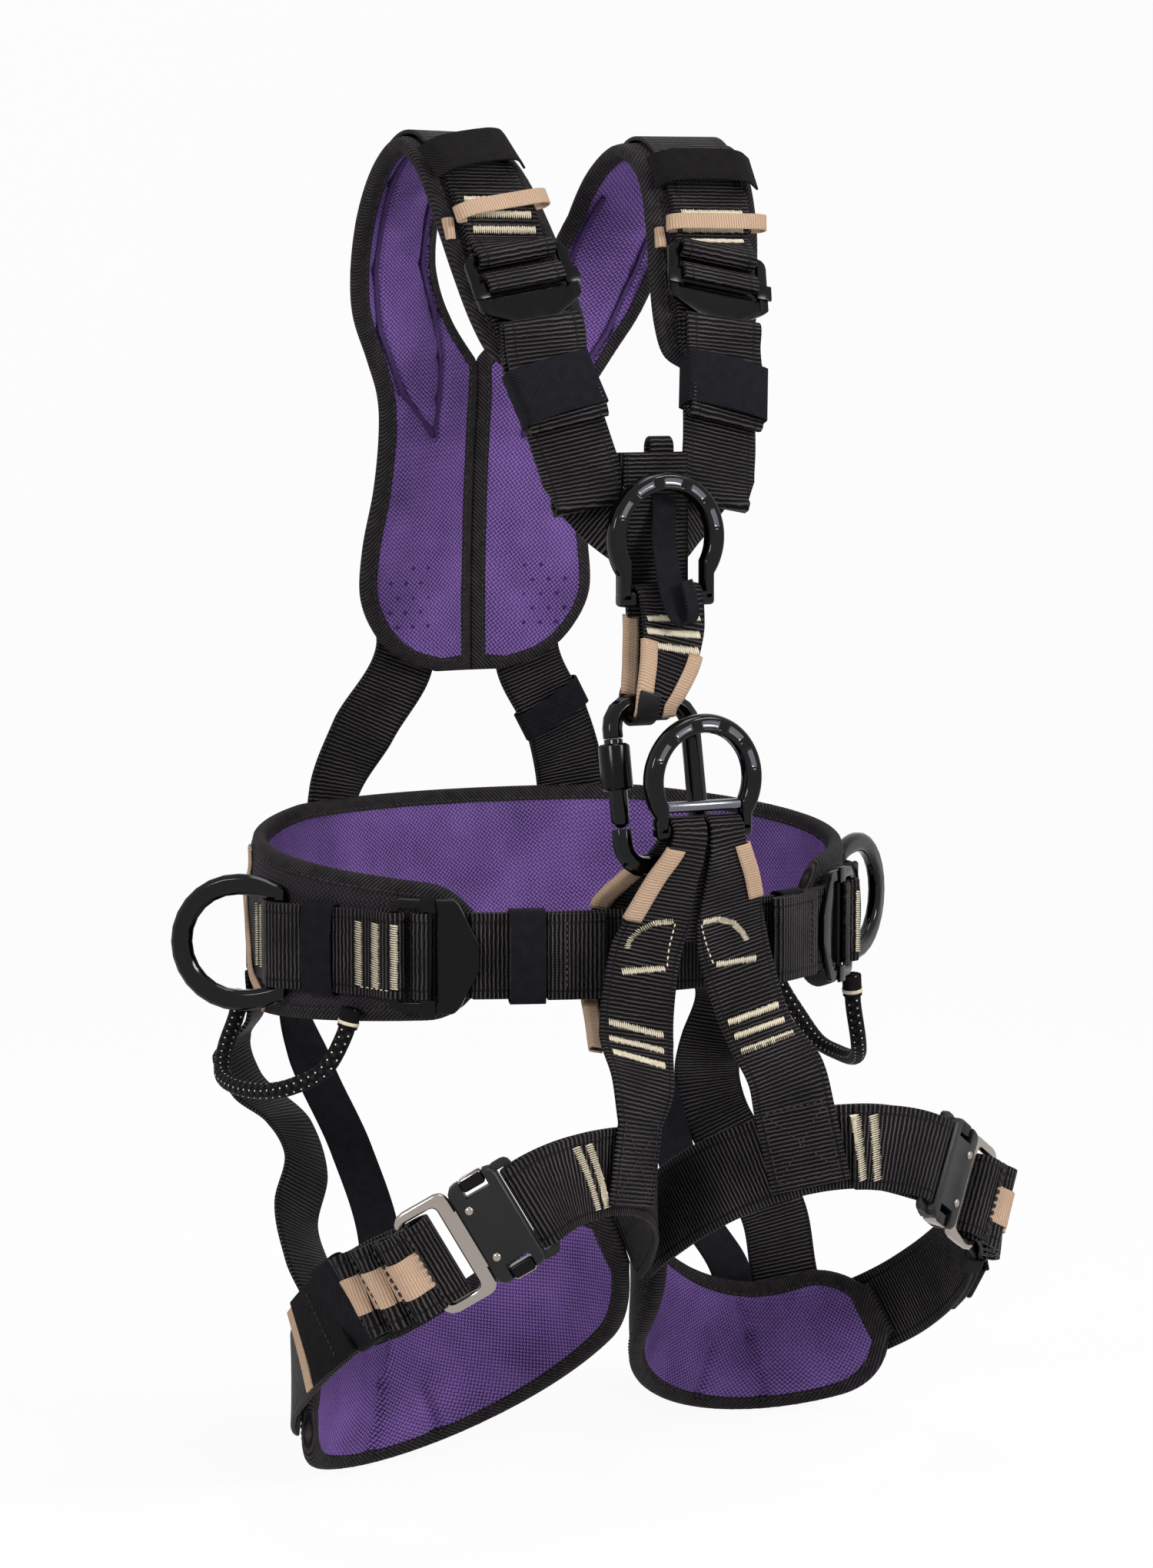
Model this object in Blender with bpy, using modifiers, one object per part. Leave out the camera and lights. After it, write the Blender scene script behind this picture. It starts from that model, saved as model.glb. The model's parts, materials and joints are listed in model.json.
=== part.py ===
"""Full-body climbing harness for tree work: pads, webbing, rings, buckles and a carabiner.

Metres, +Z up. The origin is on the wearer's mid-plane, inside the waist ring at its mid-height.
The wearer faces -Y, and +X is the wearer's left. Angles are in degrees.
"""

import math

import bmesh
import bpy
from mathutils import Matrix, Vector

# Webbing, padding and the clearance between two layers
WEB_WIDTH = 0.045
WEB_THICK = 0.0024
PAD_THICK = 0.010
LAYER_GAP = 0.0005
PART_GAP = 0.0004
PAD_ROWS = (-1.0, -0.34, 0.34, 1.0)
PAD_END_SHARE = 0.42
BEND_STEPS = 8

# Middle of a strap that lies on a pad, step to a second layer, and middle on a twisted pad
ON_PAD = PAD_THICK / 2 + LAYER_GAP + WEB_THICK / 2
SECOND_LAYER = WEB_THICK + LAYER_GAP
ON_CURVE = ON_PAD + LAYER_GAP

# Waist ring: half axes of its ellipse, measured to the middle of the pad
WAIST_HALF_WIDTH = 0.1655
WAIST_HALF_DEPTH = 0.128
WAIST_BACK = 0.018
WAIST_PAD_END = 142.0
WAIST_PAD_TOP = 0.058
WAIST_PAD_BOTTOM = 0.050
WAIST_PAD_FRONT = 0.034
WAIST_TAPER = 40.0
WAIST_ROUND = 12.0
WAIST_STEP = 6.0
WAIST_EYE = 14.0
WAIST_TAIL = 9
WAIST_KEEPER = 153.0
WAIST_KEEPER_LENGTH = 0.018
BULGE_SPAN = 11.0

# Thigh loops: a tilted ring on a cylinder, high at the front
LEG_RADIUS = 0.087
LEG_INNER_GAP = 0.014
LEG_SPACING = LEG_RADIUS + (PAD_THICK + LEG_INNER_GAP) / 2
LEG_FORWARD = 0.085
LEG_MIDDLE = 0.177
LEG_TILT = 0.075
LEG_HIGH = -15.0
THIGH_PAD_HEIGHT = 0.074
THIGH_PAD_FROM = 117.0
THIGH_PAD_TO = 268.0
THIGH_ROUND = 24.0
LEG_STEP = 8.0
FRONT_STRAP = (-96.0, -8.0)
FRONT_TAIL = (-8.0, -14.0)
OUTER_STRAP = (132.0, 66.0)
OUTER_TAIL = (66.0, 72.0, 80.0, 88.0, 96.0)

# Adjuster: a flat frame with a sliding bar that locks the webbing
ADJUSTER_LENGTH = 0.042
ADJUSTER_WIDTH = 0.060
ADJUSTER_PLATE = 0.003
ADJUSTER_BAR = 0.004
ADJUSTER_RAIL = 0.0055
ADJUSTER_SHIELD = 0.017
ADJUSTER_CORNER = 0.005
ADJUSTER_FILLET = 0.0012
SLIDER_RADIUS = 0.0022
SLIDER_TRAVEL = 0.004
SLIDER_ROOM = 0.0028
EAR_HALF_LENGTH = 0.004
EAR_OVERHANG = 0.0015
EAR_THICK = 0.0016
EYE_RADIUS = 0.0046
WAIST_ADJUSTER = 135.5
SHOULDER_ADJUSTER = 17.4
SLIDER_REST = ADJUSTER_LENGTH / 2 - ADJUSTER_SHIELD - SLIDER_RADIUS - SLIDER_ROOM
HOOK_CENTRE = SLIDER_REST - SLIDER_TRAVEL
END_BAR = (ADJUSTER_BAR - ADJUSTER_LENGTH) / 2

# Quick-release leg buckle: housing, tongue and two side latches
HOUSING_LENGTH = 0.036
HOUSING_WIDTH = 0.056
HOUSING_THICK = 0.011
HOUSING_REAR = 0.0085
HOUSING_LOOP = 0.003
HOUSING_RAIL = 0.004
HOUSING_CORNER = 0.005
HOUSING_CHAMFER = 0.0012
BUCKLE_SLOT = 0.0472
LATCH_START = -0.003
LATCH_LENGTH = 0.013
LATCH_DEPTH = 0.0075
LATCH_TRAVEL = 0.0025
LATCH_OUTER = HOUSING_WIDTH / 2 + 0.001
LATCH_CHAMFER = 0.0006
TONGUE_THICK = 0.004
TONGUE_TAB = 0.033
TONGUE_TIP = 0.003
TONGUE_WIDTH = 0.058
TONGUE_LENGTH = 0.031
TONGUE_RAIL = 0.004
TONGUE_CHAMFER = 0.0008
LEG_BUCKLE = 28.0
BUCKLE_BACK = 0.016
BUCKLE_DOWN = 0.006
HOUSING_BAR = (HOUSING_RAIL - HOUSING_LENGTH) / 2
TONGUE_START = HOUSING_LENGTH / 2 + PART_GAP
TONGUE_END_BAR = TONGUE_START + TONGUE_LENGTH - TONGUE_RAIL / 2

# Forged attachment rings
RING_OUTER = 0.033
RING_SECTION = 0.010
RING_THICK = 0.009
RING_RISE = 0.024
RING_SLOT = 0.0425
RING_BAR = 0.008
RING_SHOULDER = 0.0065
RING_CROSSBAR = 0.0055
RING_CORNER = 0.005
RING_FILLET = 0.0015
RING_CHAMFER = 0.002
RING_EYE_RADIUS = 0.0066
SIDE_RING_RADIUS = 0.0365
SIDE_RING_REACH = 0.022
SIDE_RING_SECTION = 0.011
SIDE_RING_THICK = 0.008
SIDE_RING_ANGLE = 99.0
SIDE_RING_SWING = 46.0
STERNAL_BAR = Vector((0.0, -0.110, 0.183))
VENTRAL_BAR = Vector((0.0, -0.150, 0.066))
DORSAL_Z = 0.231
DORSAL_FACE = 0.1252
DORSAL_TILT = 4.4
DORSAL_PLATE = 0.004
DORSAL_HALF_LENGTH = 0.041
DORSAL_HALF_WIDTH = 0.036
DORSAL_CORNER = 0.012
DORSAL_CHAMFER = 0.0008
DORSAL_LOOP = (-0.034, -0.018)
DORSAL_LOOP_WIDTH = 0.040

# Carabiner between the chest strap and the riser loop
CARABINER_TOP = Vector((-0.016, -0.122, 0.1295))
CARABINER_FOOT = Vector((-0.016, -0.138, 0.047))
CARABINER_HALF_WIDTH = 0.023
CARABINER_ROD = 0.0055
CARABINER_CORNER = 0.012
GATE_LOW = 0.022
GATE_HIGH = 0.025
GATE_RADIUS = 0.005
GATE_SIDES = 12
SLEEVE_SIDES = 24
SLEEVE_CHAMFER = 0.0012
SLEEVE_DROP = 0.003
SLEEVE_RADIUS = 0.0082
SLEEVE_LENGTH = 0.024

# Gear loops of flecked cord on the waist pad: angle, distance out from the pad's middle, height
GEAR_CORD = 0.009
GEAR_SEAT = PAD_THICK / 2 + GEAR_CORD / 2 + LAYER_GAP
GEAR_ROUTE = [
    (119.0, GEAR_SEAT, -0.030),
    (117.5, 0.0120, -0.045),
    (114.5, 0.0180, -0.062),
    (108.0, 0.0220, -0.072),
    (101.0, 0.0240, -0.077),
    (92.5, 0.0260, -0.078),
    (84.5, 0.0260, -0.075),
    (79.0, 0.0210, -0.063),
    (74.5, 0.0140, -0.049),
    (72.0, GEAR_SEAT, -0.036),
]
GEAR_POINTS = 20
GEAR_LEFT_DEEPER = 1.16
GEAR_LEFT_SPREAD = 0.45

# Half of the back and shoulder pad, wearer's left: inner x, outer x, inner y, outer y, z
SHOULDER_EDGES = [
    (0.0025, 0.022, 0.118, 0.117, 0.129),
    (0.0025, 0.044, 0.118, 0.115, 0.136),
    (0.0025, 0.061, 0.118, 0.112, 0.150),
    (0.0025, 0.072, 0.118, 0.109, 0.172),
    (0.0025, 0.071, 0.117, 0.108, 0.200),
    (0.0025, 0.065, 0.115, 0.106, 0.232),
    (0.0025, 0.063, 0.112, 0.103, 0.262),
    (0.0025, 0.066, 0.109, 0.098, 0.284),
    (0.018, 0.076, 0.105, 0.090, 0.305),
    (0.034, 0.089, 0.099, 0.080, 0.330),
    (0.041, 0.096, 0.090, 0.066, 0.357),
    (0.043, 0.100, 0.074, 0.048, 0.384),
    (0.043, 0.102, 0.052, 0.026, 0.406),
    (0.042, 0.102, 0.024, 0.004, 0.418),
    (0.040, 0.101, 0.000, -0.012, 0.414),
    (0.037, 0.099, -0.020, -0.026, 0.400),
    (0.032, 0.096, -0.036, -0.038, 0.376),
    (0.027, 0.091, -0.049, -0.047, 0.350),
    (0.024, 0.085, -0.060, -0.056, 0.325),
    (0.027, 0.077, -0.066, -0.062, 0.308),
    (0.040, 0.063, -0.069, -0.066, 0.300),
]
SHOULDER_STEP = 0.5
SHOULDER_CENTRE = Vector((0.05, 0.015, 0.34))
SHOULDER_STRAP_FROM = 6.0
SHOULDER_STRAP_STRAIGHT = 8.0
SHOULDER_STRAP_INWARD = 0.004
SHOULDER_EYE = 0.9
SHOULDER_TAIL = 3

# Back straps on the waist pad and then on the back pad: heights, free point, then station and side
BACK_STRAP_ANGLE = 26.5
BACK_STRAP_WIDTH = 0.040
BACK_STRAP_FEET = (0.027, 0.058)
BACK_STRAP_FREE = Vector((0.062, 0.1290, 0.096))
BACK_STRAP_TOP = ((1.2, 0.013), (2.4, 0.004), (3.2, -0.008), (3.8, -0.0125))

# Chest webs below the shoulder pads, wearer's left: x, y, z, width; the last five fold the end back
CHEST_ACROSS = Vector((0.97, 0.04, -0.22))
CHEST_WEB_ON_PAD = (19.0, 20.0)
CHEST_KEEPER_LENGTH = 0.014
CHEST_WEB = [
    (0.0475, -0.0830, 0.2800, 0.045),
    (0.0440, -0.0895, 0.2620, 0.045),
    (0.0405, -0.0945, 0.2450, 0.045),
    (0.0395, -0.0976, 0.2340, 0.036),
    (0.0394, -0.0978, 0.2310, 0.036),
    (0.0394, -0.0957, 0.2293, 0.036),
    (0.0394, -0.0937, 0.2310, 0.036),
    (0.0397, -0.0937, 0.2370, 0.036),
]
YOKE = [(0.039, -0.0876, 0.2405), (0.021, -0.0915, 0.2225), (0.008, -0.0967, 0.2135)]
YOKE_WIDTH = 0.034
BAND = [(-0.042, -0.0846, 0.2490), (-0.014, -0.0846, 0.2490), (0.014, -0.0846, 0.2490), (0.042, -0.0846, 0.2490)]
BAND_WIDTH = 0.018

# Risers, wearer's left: x, y, z, width of the back layer, the front layer, and heights across the thigh strap
RISER_TOP_X = 0.0109
RISER_TOP_WIDTH = 0.0195
RISER_WIDTH = 0.042
RISER_BACK = [
    (0.0355, -0.1385, -0.050, 0.042),
    (0.0300, -0.1240, -0.038, 0.042),
    (0.0245, -0.1060, -0.022, 0.042),
    (0.0245, -0.1030, 0.000, 0.042),
    (0.0205, -0.1050, 0.022, 0.038),
    (0.0150, -0.1150, 0.038, 0.028),
    (0.0115, -0.1310, 0.052, 0.0195),
]
RISER_FRONT = [
    (0.0120, -0.1560, 0.057, 0.0205),
    (0.0168, -0.1495, 0.040, 0.029),
    (0.0210, -0.1420, 0.020, 0.038),
    (0.0255, -0.1370, 0.004, 0.042),
    (0.0305, -0.1385, -0.016, 0.042),
    (0.0365, -0.1460, -0.041, 0.042),
]
RISER_TURN = Vector((0.0425, -0.1640, -0.063))
RISER_TURN_ACROSS = Vector((0.94, -0.34, 0.0))
RISER_ANGLE = -30.0
RISER_FOOT = (0.024, 0.006, -0.018)

# Rear straps from the waist pad to the thigh pads, wearer's left: angles, heights and free points
REAR_FOOT = (0.036, 0.010)
REAR_ELASTIC_WIDTH = 0.025
REAR_ELASTIC_ANGLES = (40.0, 176.0)
REAR_ELASTIC_TOP = (-0.026, -0.056)
REAR_ELASTIC = [(0.107, 0.106, -0.084), (0.100, 0.066, -0.130), (0.099, 0.031, -0.178)]
REAR_WEB_WIDTH = 0.038
REAR_WEB_ANGLES = (60.0, 149.0)
REAR_WEB_TOP = (-0.026, -0.054)
REAR_WEB_ACROSS = Vector((0.8, -0.6, 0.0))
REAR_WEB = [
    (0.158, 0.097, -0.072),
    (0.149, 0.098, -0.094),
    (0.133, 0.076, -0.113),
    (0.131, 0.058, -0.134),
    (0.143, 0.045, -0.158),
    (0.146, 0.022, -0.182),
]

# Sternal strap: widths in the ring, at the carabiner and between, and the height of its top end
STERNAL_WIDE = 0.038
STERNAL_MIDDLE = 0.030
STERNAL_NARROW = 0.024
STERNAL_LOOP = 0.020
STERNAL_TOP = 0.258

# Elastic keeper wall
KEEPER_WALL = 0.0011

ACROSS = Vector((1, 0, 0))
UP = Vector((0, 0, 1))

for old in list(bpy.data.objects):
    bpy.data.objects.remove(old)


def collection(name):
    made = bpy.data.collections.new(name)
    bpy.context.scene.collection.children.link(made)
    return made


HARNESS = collection("climbing_harness")
CUTTERS = collection("cutters")


def finish(name, colour, roughness, metallic=0.0):
    made = bpy.data.materials.new(name)
    made.use_nodes = True
    shader = made.node_tree.nodes["Principled BSDF"]
    shader.inputs["Base Color"].default_value = (*colour, 1.0)
    shader.inputs["Roughness"].default_value = roughness
    shader.inputs["Metallic"].default_value = metallic
    return made


WEBBING = finish("black_webbing", (0.016, 0.015, 0.016), 0.75)
PAD_CLOTH = finish("purple_pad_cloth", (0.105, 0.042, 0.323), 0.85)
ELASTIC = finish("dark_elastic", (0.012, 0.012, 0.018), 0.8)
FORGED = finish("black_forged_aluminium", (0.012, 0.012, 0.013), 0.25, 0.7)
BLACK_STEEL = finish("black_steel", (0.014, 0.014, 0.016), 0.38, 0.8)
POLISHED = finish("polished_steel", (0.62, 0.58, 0.53), 0.2, 1.0)
MOULDED = finish("moulded_nylon", (0.018, 0.018, 0.02), 0.55)
CORD = finish("flecked_cord", (0.02, 0.02, 0.022), 0.8)


# Placing: routes on the wearer, local frames of buckles, and mirroring

def smooth(points, k):
    """Read a Catmull-Rom curve through the points at k, counted in points."""
    i = min(max(int(math.floor(k)), 0), len(points) - 2)
    t = k - i
    before = points[max(i - 1, 0)]
    after = points[min(i + 2, len(points) - 1)]
    a, b = points[i], points[i + 1]
    out = (b - before) * 0.5
    into = (after - a) * 0.5
    t2, t3 = t * t, t * t * t
    return a * (2 * t3 - 3 * t2 + 1) + out * (t3 - 2 * t2 + t) + b * (3 * t2 - 2 * t3) + into * (t3 - t2)


class Route:
    """A way round the wearer: place(k) gives a point and the direction across the strap there."""

    def __init__(self, place, inside):
        self.place = place
        self.inside = inside

    def axes(self, k):
        point, across = self.place(k)
        along = (self.place(k + 0.01)[0] - self.place(k - 0.01)[0]).normalized()
        across = (across - along * across.dot(along)).normalized()
        out = along.cross(across)
        if out.dot(point - self.inside(point)) < 0:
            out = -out
        return point, along, across, out

    def at(self, k, off, side=0.0):
        """A station of a strap: its middle, off outward and side across, and its direction across."""
        point, along, across, out = self.axes(k)
        across = self.place(k)[1].normalized()
        return point + out * off + across * side, across


def waist_place(angle):
    turn = math.radians(angle)
    y = WAIST_BACK + WAIST_HALF_DEPTH * math.cos(turn)
    return Vector((WAIST_HALF_WIDTH * math.sin(turn), y, 0.0)), UP


def shoulder_place(k):
    inner = [Vector((xi, yi, z)) for xi, xo, yi, yo, z in SHOULDER_EDGES]
    outer = [Vector((xo, yo, z)) for xi, xo, yi, yo, z in SHOULDER_EDGES]
    a, b = smooth(inner, k), smooth(outer, k)
    return (a + b) / 2, b - a


def leg_place(angle):
    turn = math.radians(angle)
    radial = Vector((math.sin(turn), -math.cos(turn), 0.0))
    height = -LEG_MIDDLE + LEG_TILT * math.cos(math.radians(angle - LEG_HIGH))
    point = Vector((LEG_SPACING, -LEG_FORWARD, height)) + radial * LEG_RADIUS
    slope = -LEG_TILT / LEG_RADIUS * math.sin(math.radians(angle - LEG_HIGH))
    ahead = Vector((math.cos(turn), math.sin(turn), slope))
    return point, radial.cross(ahead)


WAIST = Route(waist_place, lambda p: Vector((0, WAIST_BACK, p.z)))
SHOULDER = Route(shoulder_place, lambda p: Vector((SHOULDER_CENTRE.x, SHOULDER_CENTRE.y, min(p.z, SHOULDER_CENTRE.z))))
LEG = Route(leg_place, lambda p: Vector((LEG_SPACING, -LEG_FORWARD, p.z)))


def steps(start, stop, step):
    """Values from start to stop, on the grid of step between them, so that layers share their stations."""
    low, high = min(start, stop), max(start, stop)
    grid = [step * n for n in range(math.ceil(low / step - 1), math.floor(high / step + 1) + 1)]
    inner = [g for g in grid if low + step * 0.3 < g < high - step * 0.3]
    values = [low] + inner + [high]
    return values if start < stop else values[::-1]


def mirrored(stations):
    return [(Vector((-p.x, p.y, p.z)), Vector((-a.x, a.y, a.z))) for p, a in stations]


def on_side(stations, side):
    return stations if side > 0 else mirrored(stations)


class Seat:
    """A local frame: u along the strap, v across it, w outward."""

    def __init__(self, origin, u, w):
        self.origin, self.u, self.w = origin, u.normalized(), w.normalized()
        self.v = self.w.cross(self.u)

    def point(self, u, v, w):
        return self.origin + self.u * u + self.v * v + self.w * w

    def station(self, u, w):
        return self.point(u, 0, w), self.v

    def matrix(self):
        axes = Matrix((self.u, self.v, self.w)).transposed().to_4x4()
        return Matrix.Translation(self.origin) @ axes

    def other_side(self):
        def flip(p):
            return Vector((-p.x, p.y, p.z))
        return Seat(flip(self.origin), flip(self.u), flip(self.w))


def seat_on(route, k, off, back=0.0, down=0.0):
    """A local frame on a route, its origin moved back along the strap and down across it."""
    point, along, across, out = route.axes(k)
    return Seat(point + out * off - along * back - across * down, along, out)


def eye(base, back, seat_across, bar, along, out, radius):
    """Lead a strap from its base round a bar to its tail, tangent to the bar's clearance on both sides."""
    def tangent(place, side):
        reach = place - bar
        flat = math.hypot(reach.dot(along), reach.dot(out))
        seen = math.atan2(reach.dot(out), reach.dot(along)) % math.tau
        return seen + side * math.acos(radius / flat)

    start, stop = tangent(base[-1][0], 1) - math.tau, tangent(back[0][0], -1)
    turn = []
    for n in range(BEND_STEPS + 3):
        a = start + (stop - start) * n / (BEND_STEPS + 2)
        turn.append((bar + (along * math.cos(a) + out * math.sin(a)) * radius, seat_across))
    return base + turn + back


# Making: sheets, straps, plates, tubes and turned pieces

def add(name, data, material, matrix=None, target=HARNESS):
    made = bpy.data.objects.new(name, data)
    target.objects.link(made)
    data.materials.append(material)
    if matrix is not None:
        made.matrix_world = matrix
    return made


def sheet(name, rows, thick, material):
    """Extrude the first row of points to each next row, then give the surface its thickness."""
    mesh = bpy.data.meshes.new(name)
    bm = bmesh.new()
    line = [bm.verts.new(p) for p in rows[0]]
    rail = [bm.edges.new(pair) for pair in zip(line, line[1:])]
    for row in rows[1:]:
        made = bmesh.ops.extrude_edge_only(bm, edges=rail)["geom"]
        fresh = [v for v in made if isinstance(v, bmesh.types.BMVert)]
        line = [min(fresh, key=lambda v: (v.co - old.co).length) for old in line]
        rail = [bm.edges.get(pair) for pair in zip(line, line[1:])]
        for vert, point in zip(line, row):
            vert.co = point
    bm.to_mesh(mesh)
    bm.free()
    made = add(name, mesh, material)
    wall = made.modifiers.new("thickness", "SOLIDIFY")
    wall.thickness = thick
    wall.offset = 0.0
    return made


def strap(name, stations, width=WEB_WIDTH, material=WEBBING, thick=WEB_THICK, square=True):
    """A flat strap through its stations, square to its way; width is one value or one for each station."""
    widths = width if isinstance(width, list) else [width] * len(stations)
    rows, last = [], stations[0][1]
    for n, (point, across) in enumerate(stations):
        before, after = stations[max(n - 1, 0)][0], stations[min(n + 1, len(stations) - 1)][0]
        along = (after - before).normalized()
        flat = (across - along * across.dot(along)).normalized() if square else across
        last = flat = flat if flat.dot(last) > 0 else -flat
        rows.append([point - flat * widths[n] / 2, point + flat * widths[n] / 2])
    return sheet(name, rows, thick, material)


def arc(cx, cy, radius, start, stop, count):
    """Points of an arc, in degrees."""
    span = [math.radians(start + (stop - start) * n / count) for n in range(count + 1)]
    return [(cx + radius * math.cos(a), cy + radius * math.sin(a)) for a in span]


def round_rectangle(x0, y0, x1, y1, radius, count=3):
    points = []
    for cx, cy, start in (
        (x1 - radius, y1 - radius, 0),
        (x0 + radius, y1 - radius, 90),
        (x0 + radius, y0 + radius, 180),
        (x1 - radius, y0 + radius, 270),
    ):
        points += arc(cx, cy, radius, start, start + 90, count)
    return points


def outline(name, loops, thick, chamfer=0.0):
    """A flat outline with its holes, thick in z, with chamfered rims."""
    curve = bpy.data.curves.new(name, "CURVE")
    curve.dimensions = "2D"
    curve.fill_mode = "BOTH"
    curve.extrude = thick / 2 - chamfer
    curve.bevel_depth = chamfer
    curve.bevel_resolution = 0
    curve.offset = -chamfer
    for n, loop in enumerate(loops):
        spline = curve.splines.new("POLY")
        spline.points.add(len(loop) - 1)
        for point, (x, y) in zip(spline.points, loop[::-1] if n else loop):
            point.co = (x, y, 0, 1)
        spline.use_cyclic_u = True
    return curve


def as_mesh(curve, move=Matrix.Identity(4)):
    """Turn a curve into a welded mesh."""
    holder = bpy.data.objects.new("holder", curve)
    CUTTERS.objects.link(holder)
    bpy.context.view_layer.update()
    seen = holder.evaluated_get(bpy.context.evaluated_depsgraph_get())
    mesh = bpy.data.meshes.new_from_object(seen)
    bpy.data.objects.remove(holder)
    bm = bmesh.new()
    bm.from_mesh(mesh)
    bmesh.ops.remove_doubles(bm, verts=bm.verts, dist=1e-6)
    bm.transform(move)
    bm.to_mesh(mesh)
    bm.free()
    return mesh


def plate(name, loops, thick, material, matrix, chamfer=0.0):
    return add(name, as_mesh(outline(name, loops, thick, chamfer)), material, matrix)


def tube(name, points, radius, material, sides=2):
    """A round rod or cord along its points."""
    curve = bpy.data.curves.new(name, "CURVE")
    curve.dimensions = "3D"
    curve.bevel_depth = radius
    curve.bevel_resolution = sides
    curve.use_fill_caps = True
    spline = curve.splines.new("POLY")
    spline.points.add(len(points) - 1)
    for point, place in zip(spline.points, points):
        point.co = (*place, 1)
    return add(name, as_mesh(curve), material)


def block(low, high):
    """A box mesh between two corners."""
    mesh = bpy.data.meshes.new("block")
    bm = bmesh.new()
    bmesh.ops.create_cube(bm, size=1.0)
    size = Vector(high) - Vector(low)
    bmesh.ops.scale(bm, vec=size, verts=bm.verts)
    bmesh.ops.translate(bm, vec=(Vector(high) + Vector(low)) / 2, verts=bm.verts)
    bm.to_mesh(mesh)
    bm.free()
    return mesh


def rod(radius, start, stop, sides=12):
    """A round bar mesh between two points."""
    mesh = bpy.data.meshes.new("rod")
    bm = bmesh.new()
    way = Vector(stop) - Vector(start)
    turn = Vector((0, 0, 1)).rotation_difference(way).to_matrix().to_4x4()
    place = Matrix.Translation((Vector(start) + Vector(stop)) / 2) @ turn
    bmesh.ops.create_cone(
        bm, cap_ends=True, segments=sides, radius1=radius, radius2=radius, depth=way.length, matrix=place
    )
    bm.to_mesh(mesh)
    bm.free()
    return mesh


def combine(target, mesh, operation):
    """Join a mesh to a piece, or cut it away, in the piece's own frame."""
    helper = bpy.data.objects.new(target.name + "_" + operation.lower(), mesh)
    CUTTERS.objects.link(helper)
    helper.matrix_world = target.matrix_world
    helper.hide_render = True
    helper.display_type = "WIRE"
    step = target.modifiers.new(operation.lower(), "BOOLEAN")
    step.operation = operation
    step.object = helper


# Pads

def rounded(distance, length):
    """Share of the full height left at a distance from a pad's round end."""
    if distance >= length:
        return 1.0
    return max(math.sqrt(1 - (1 - distance / length) ** 2), PAD_END_SHARE)


def waist_pad():
    rows = []
    for angle in steps(-WAIST_PAD_END, WAIST_PAD_END, WAIST_STEP):
        share = max(abs(angle) - WAIST_TAPER, 0.0) / (WAIST_PAD_END - WAIST_TAPER)
        top = WAIST_PAD_TOP + (WAIST_PAD_FRONT - WAIST_PAD_TOP) * share
        low = -WAIST_PAD_BOTTOM + (WAIST_PAD_BOTTOM - WAIST_PAD_FRONT) * share
        end = rounded(WAIST_PAD_END - abs(angle), WAIST_ROUND)
        point = waist_place(angle)[0]
        middle, half = (top + low) / 2, (top - low) / 2 * end
        rows.append([point + UP * (middle + half * f) for f in PAD_ROWS])
    sheet("waist_pad", rows, PAD_THICK, PAD_CLOTH)


def shoulder_pad(name, side):
    rows = []
    for k in steps(0, len(SHOULDER_EDGES) - 1, SHOULDER_STEP):
        middle, across = shoulder_place(k)
        rows.append([middle + across * f / 2 for f in PAD_ROWS])
    if side < 0:
        rows = [[Vector((-p.x, p.y, p.z)) for p in row] for row in rows]
    sheet(name, rows, PAD_THICK, PAD_CLOTH)


def thigh_pad(name, side):
    rows = []
    for angle in steps(THIGH_PAD_FROM, THIGH_PAD_TO, LEG_STEP):
        inward = min(angle - THIGH_PAD_FROM, THIGH_PAD_TO - angle)
        half = THIGH_PAD_HEIGHT / 2 * rounded(inward, THIGH_ROUND)
        point, along, across, out = LEG.axes(angle)
        rows.append([point + across * half * f for f in PAD_ROWS])
    if side < 0:
        rows = [[Vector((-p.x, p.y, p.z)) for p in row] for row in rows]
    sheet(name, rows, PAD_THICK, PAD_CLOTH)


# Adjusters, where the waist and shoulder straps are set

def adjuster(name, seat):
    half_length, half_width = ADJUSTER_LENGTH / 2, ADJUSTER_WIDTH / 2
    outer = round_rectangle(-half_length, -half_width, half_length, half_width, ADJUSTER_CORNER)
    window = round_rectangle(
        ADJUSTER_BAR - half_length,
        ADJUSTER_RAIL - half_width,
        half_length - ADJUSTER_SHIELD,
        half_width - ADJUSTER_RAIL,
        ADJUSTER_FILLET,
        2,
    )
    plate(name + "_frame", [outer, window], ADJUSTER_PLATE, BLACK_STEEL, seat.matrix())
    inside = half_width - ADJUSTER_RAIL - PART_GAP
    bar = rod(SLIDER_RADIUS, (0, -inside, 0), (0, inside, 0))
    slide = add(name + "_slider", bar, BLACK_STEEL, Matrix.Translation(seat.u * SLIDER_REST) @ seat.matrix())
    low = ADJUSTER_PLATE / 2 + PART_GAP
    for end in (-1, 1):
        reach = sorted((end * (WEB_WIDTH / 2 + PART_GAP), end * (half_width + EAR_OVERHANG)))
        ear = block((-EAR_HALF_LENGTH, reach[0], low), (EAR_HALF_LENGTH, reach[1], low + EAR_THICK))
        combine(slide, ear, "UNION")


def waist_seat():
    return seat_on(WAIST, WAIST_ADJUSTER, ON_PAD + EYE_RADIUS)


def shoulder_seat():
    return seat_on(SHOULDER, SHOULDER_ADJUSTER, ON_CURVE + EYE_RADIUS)


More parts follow.
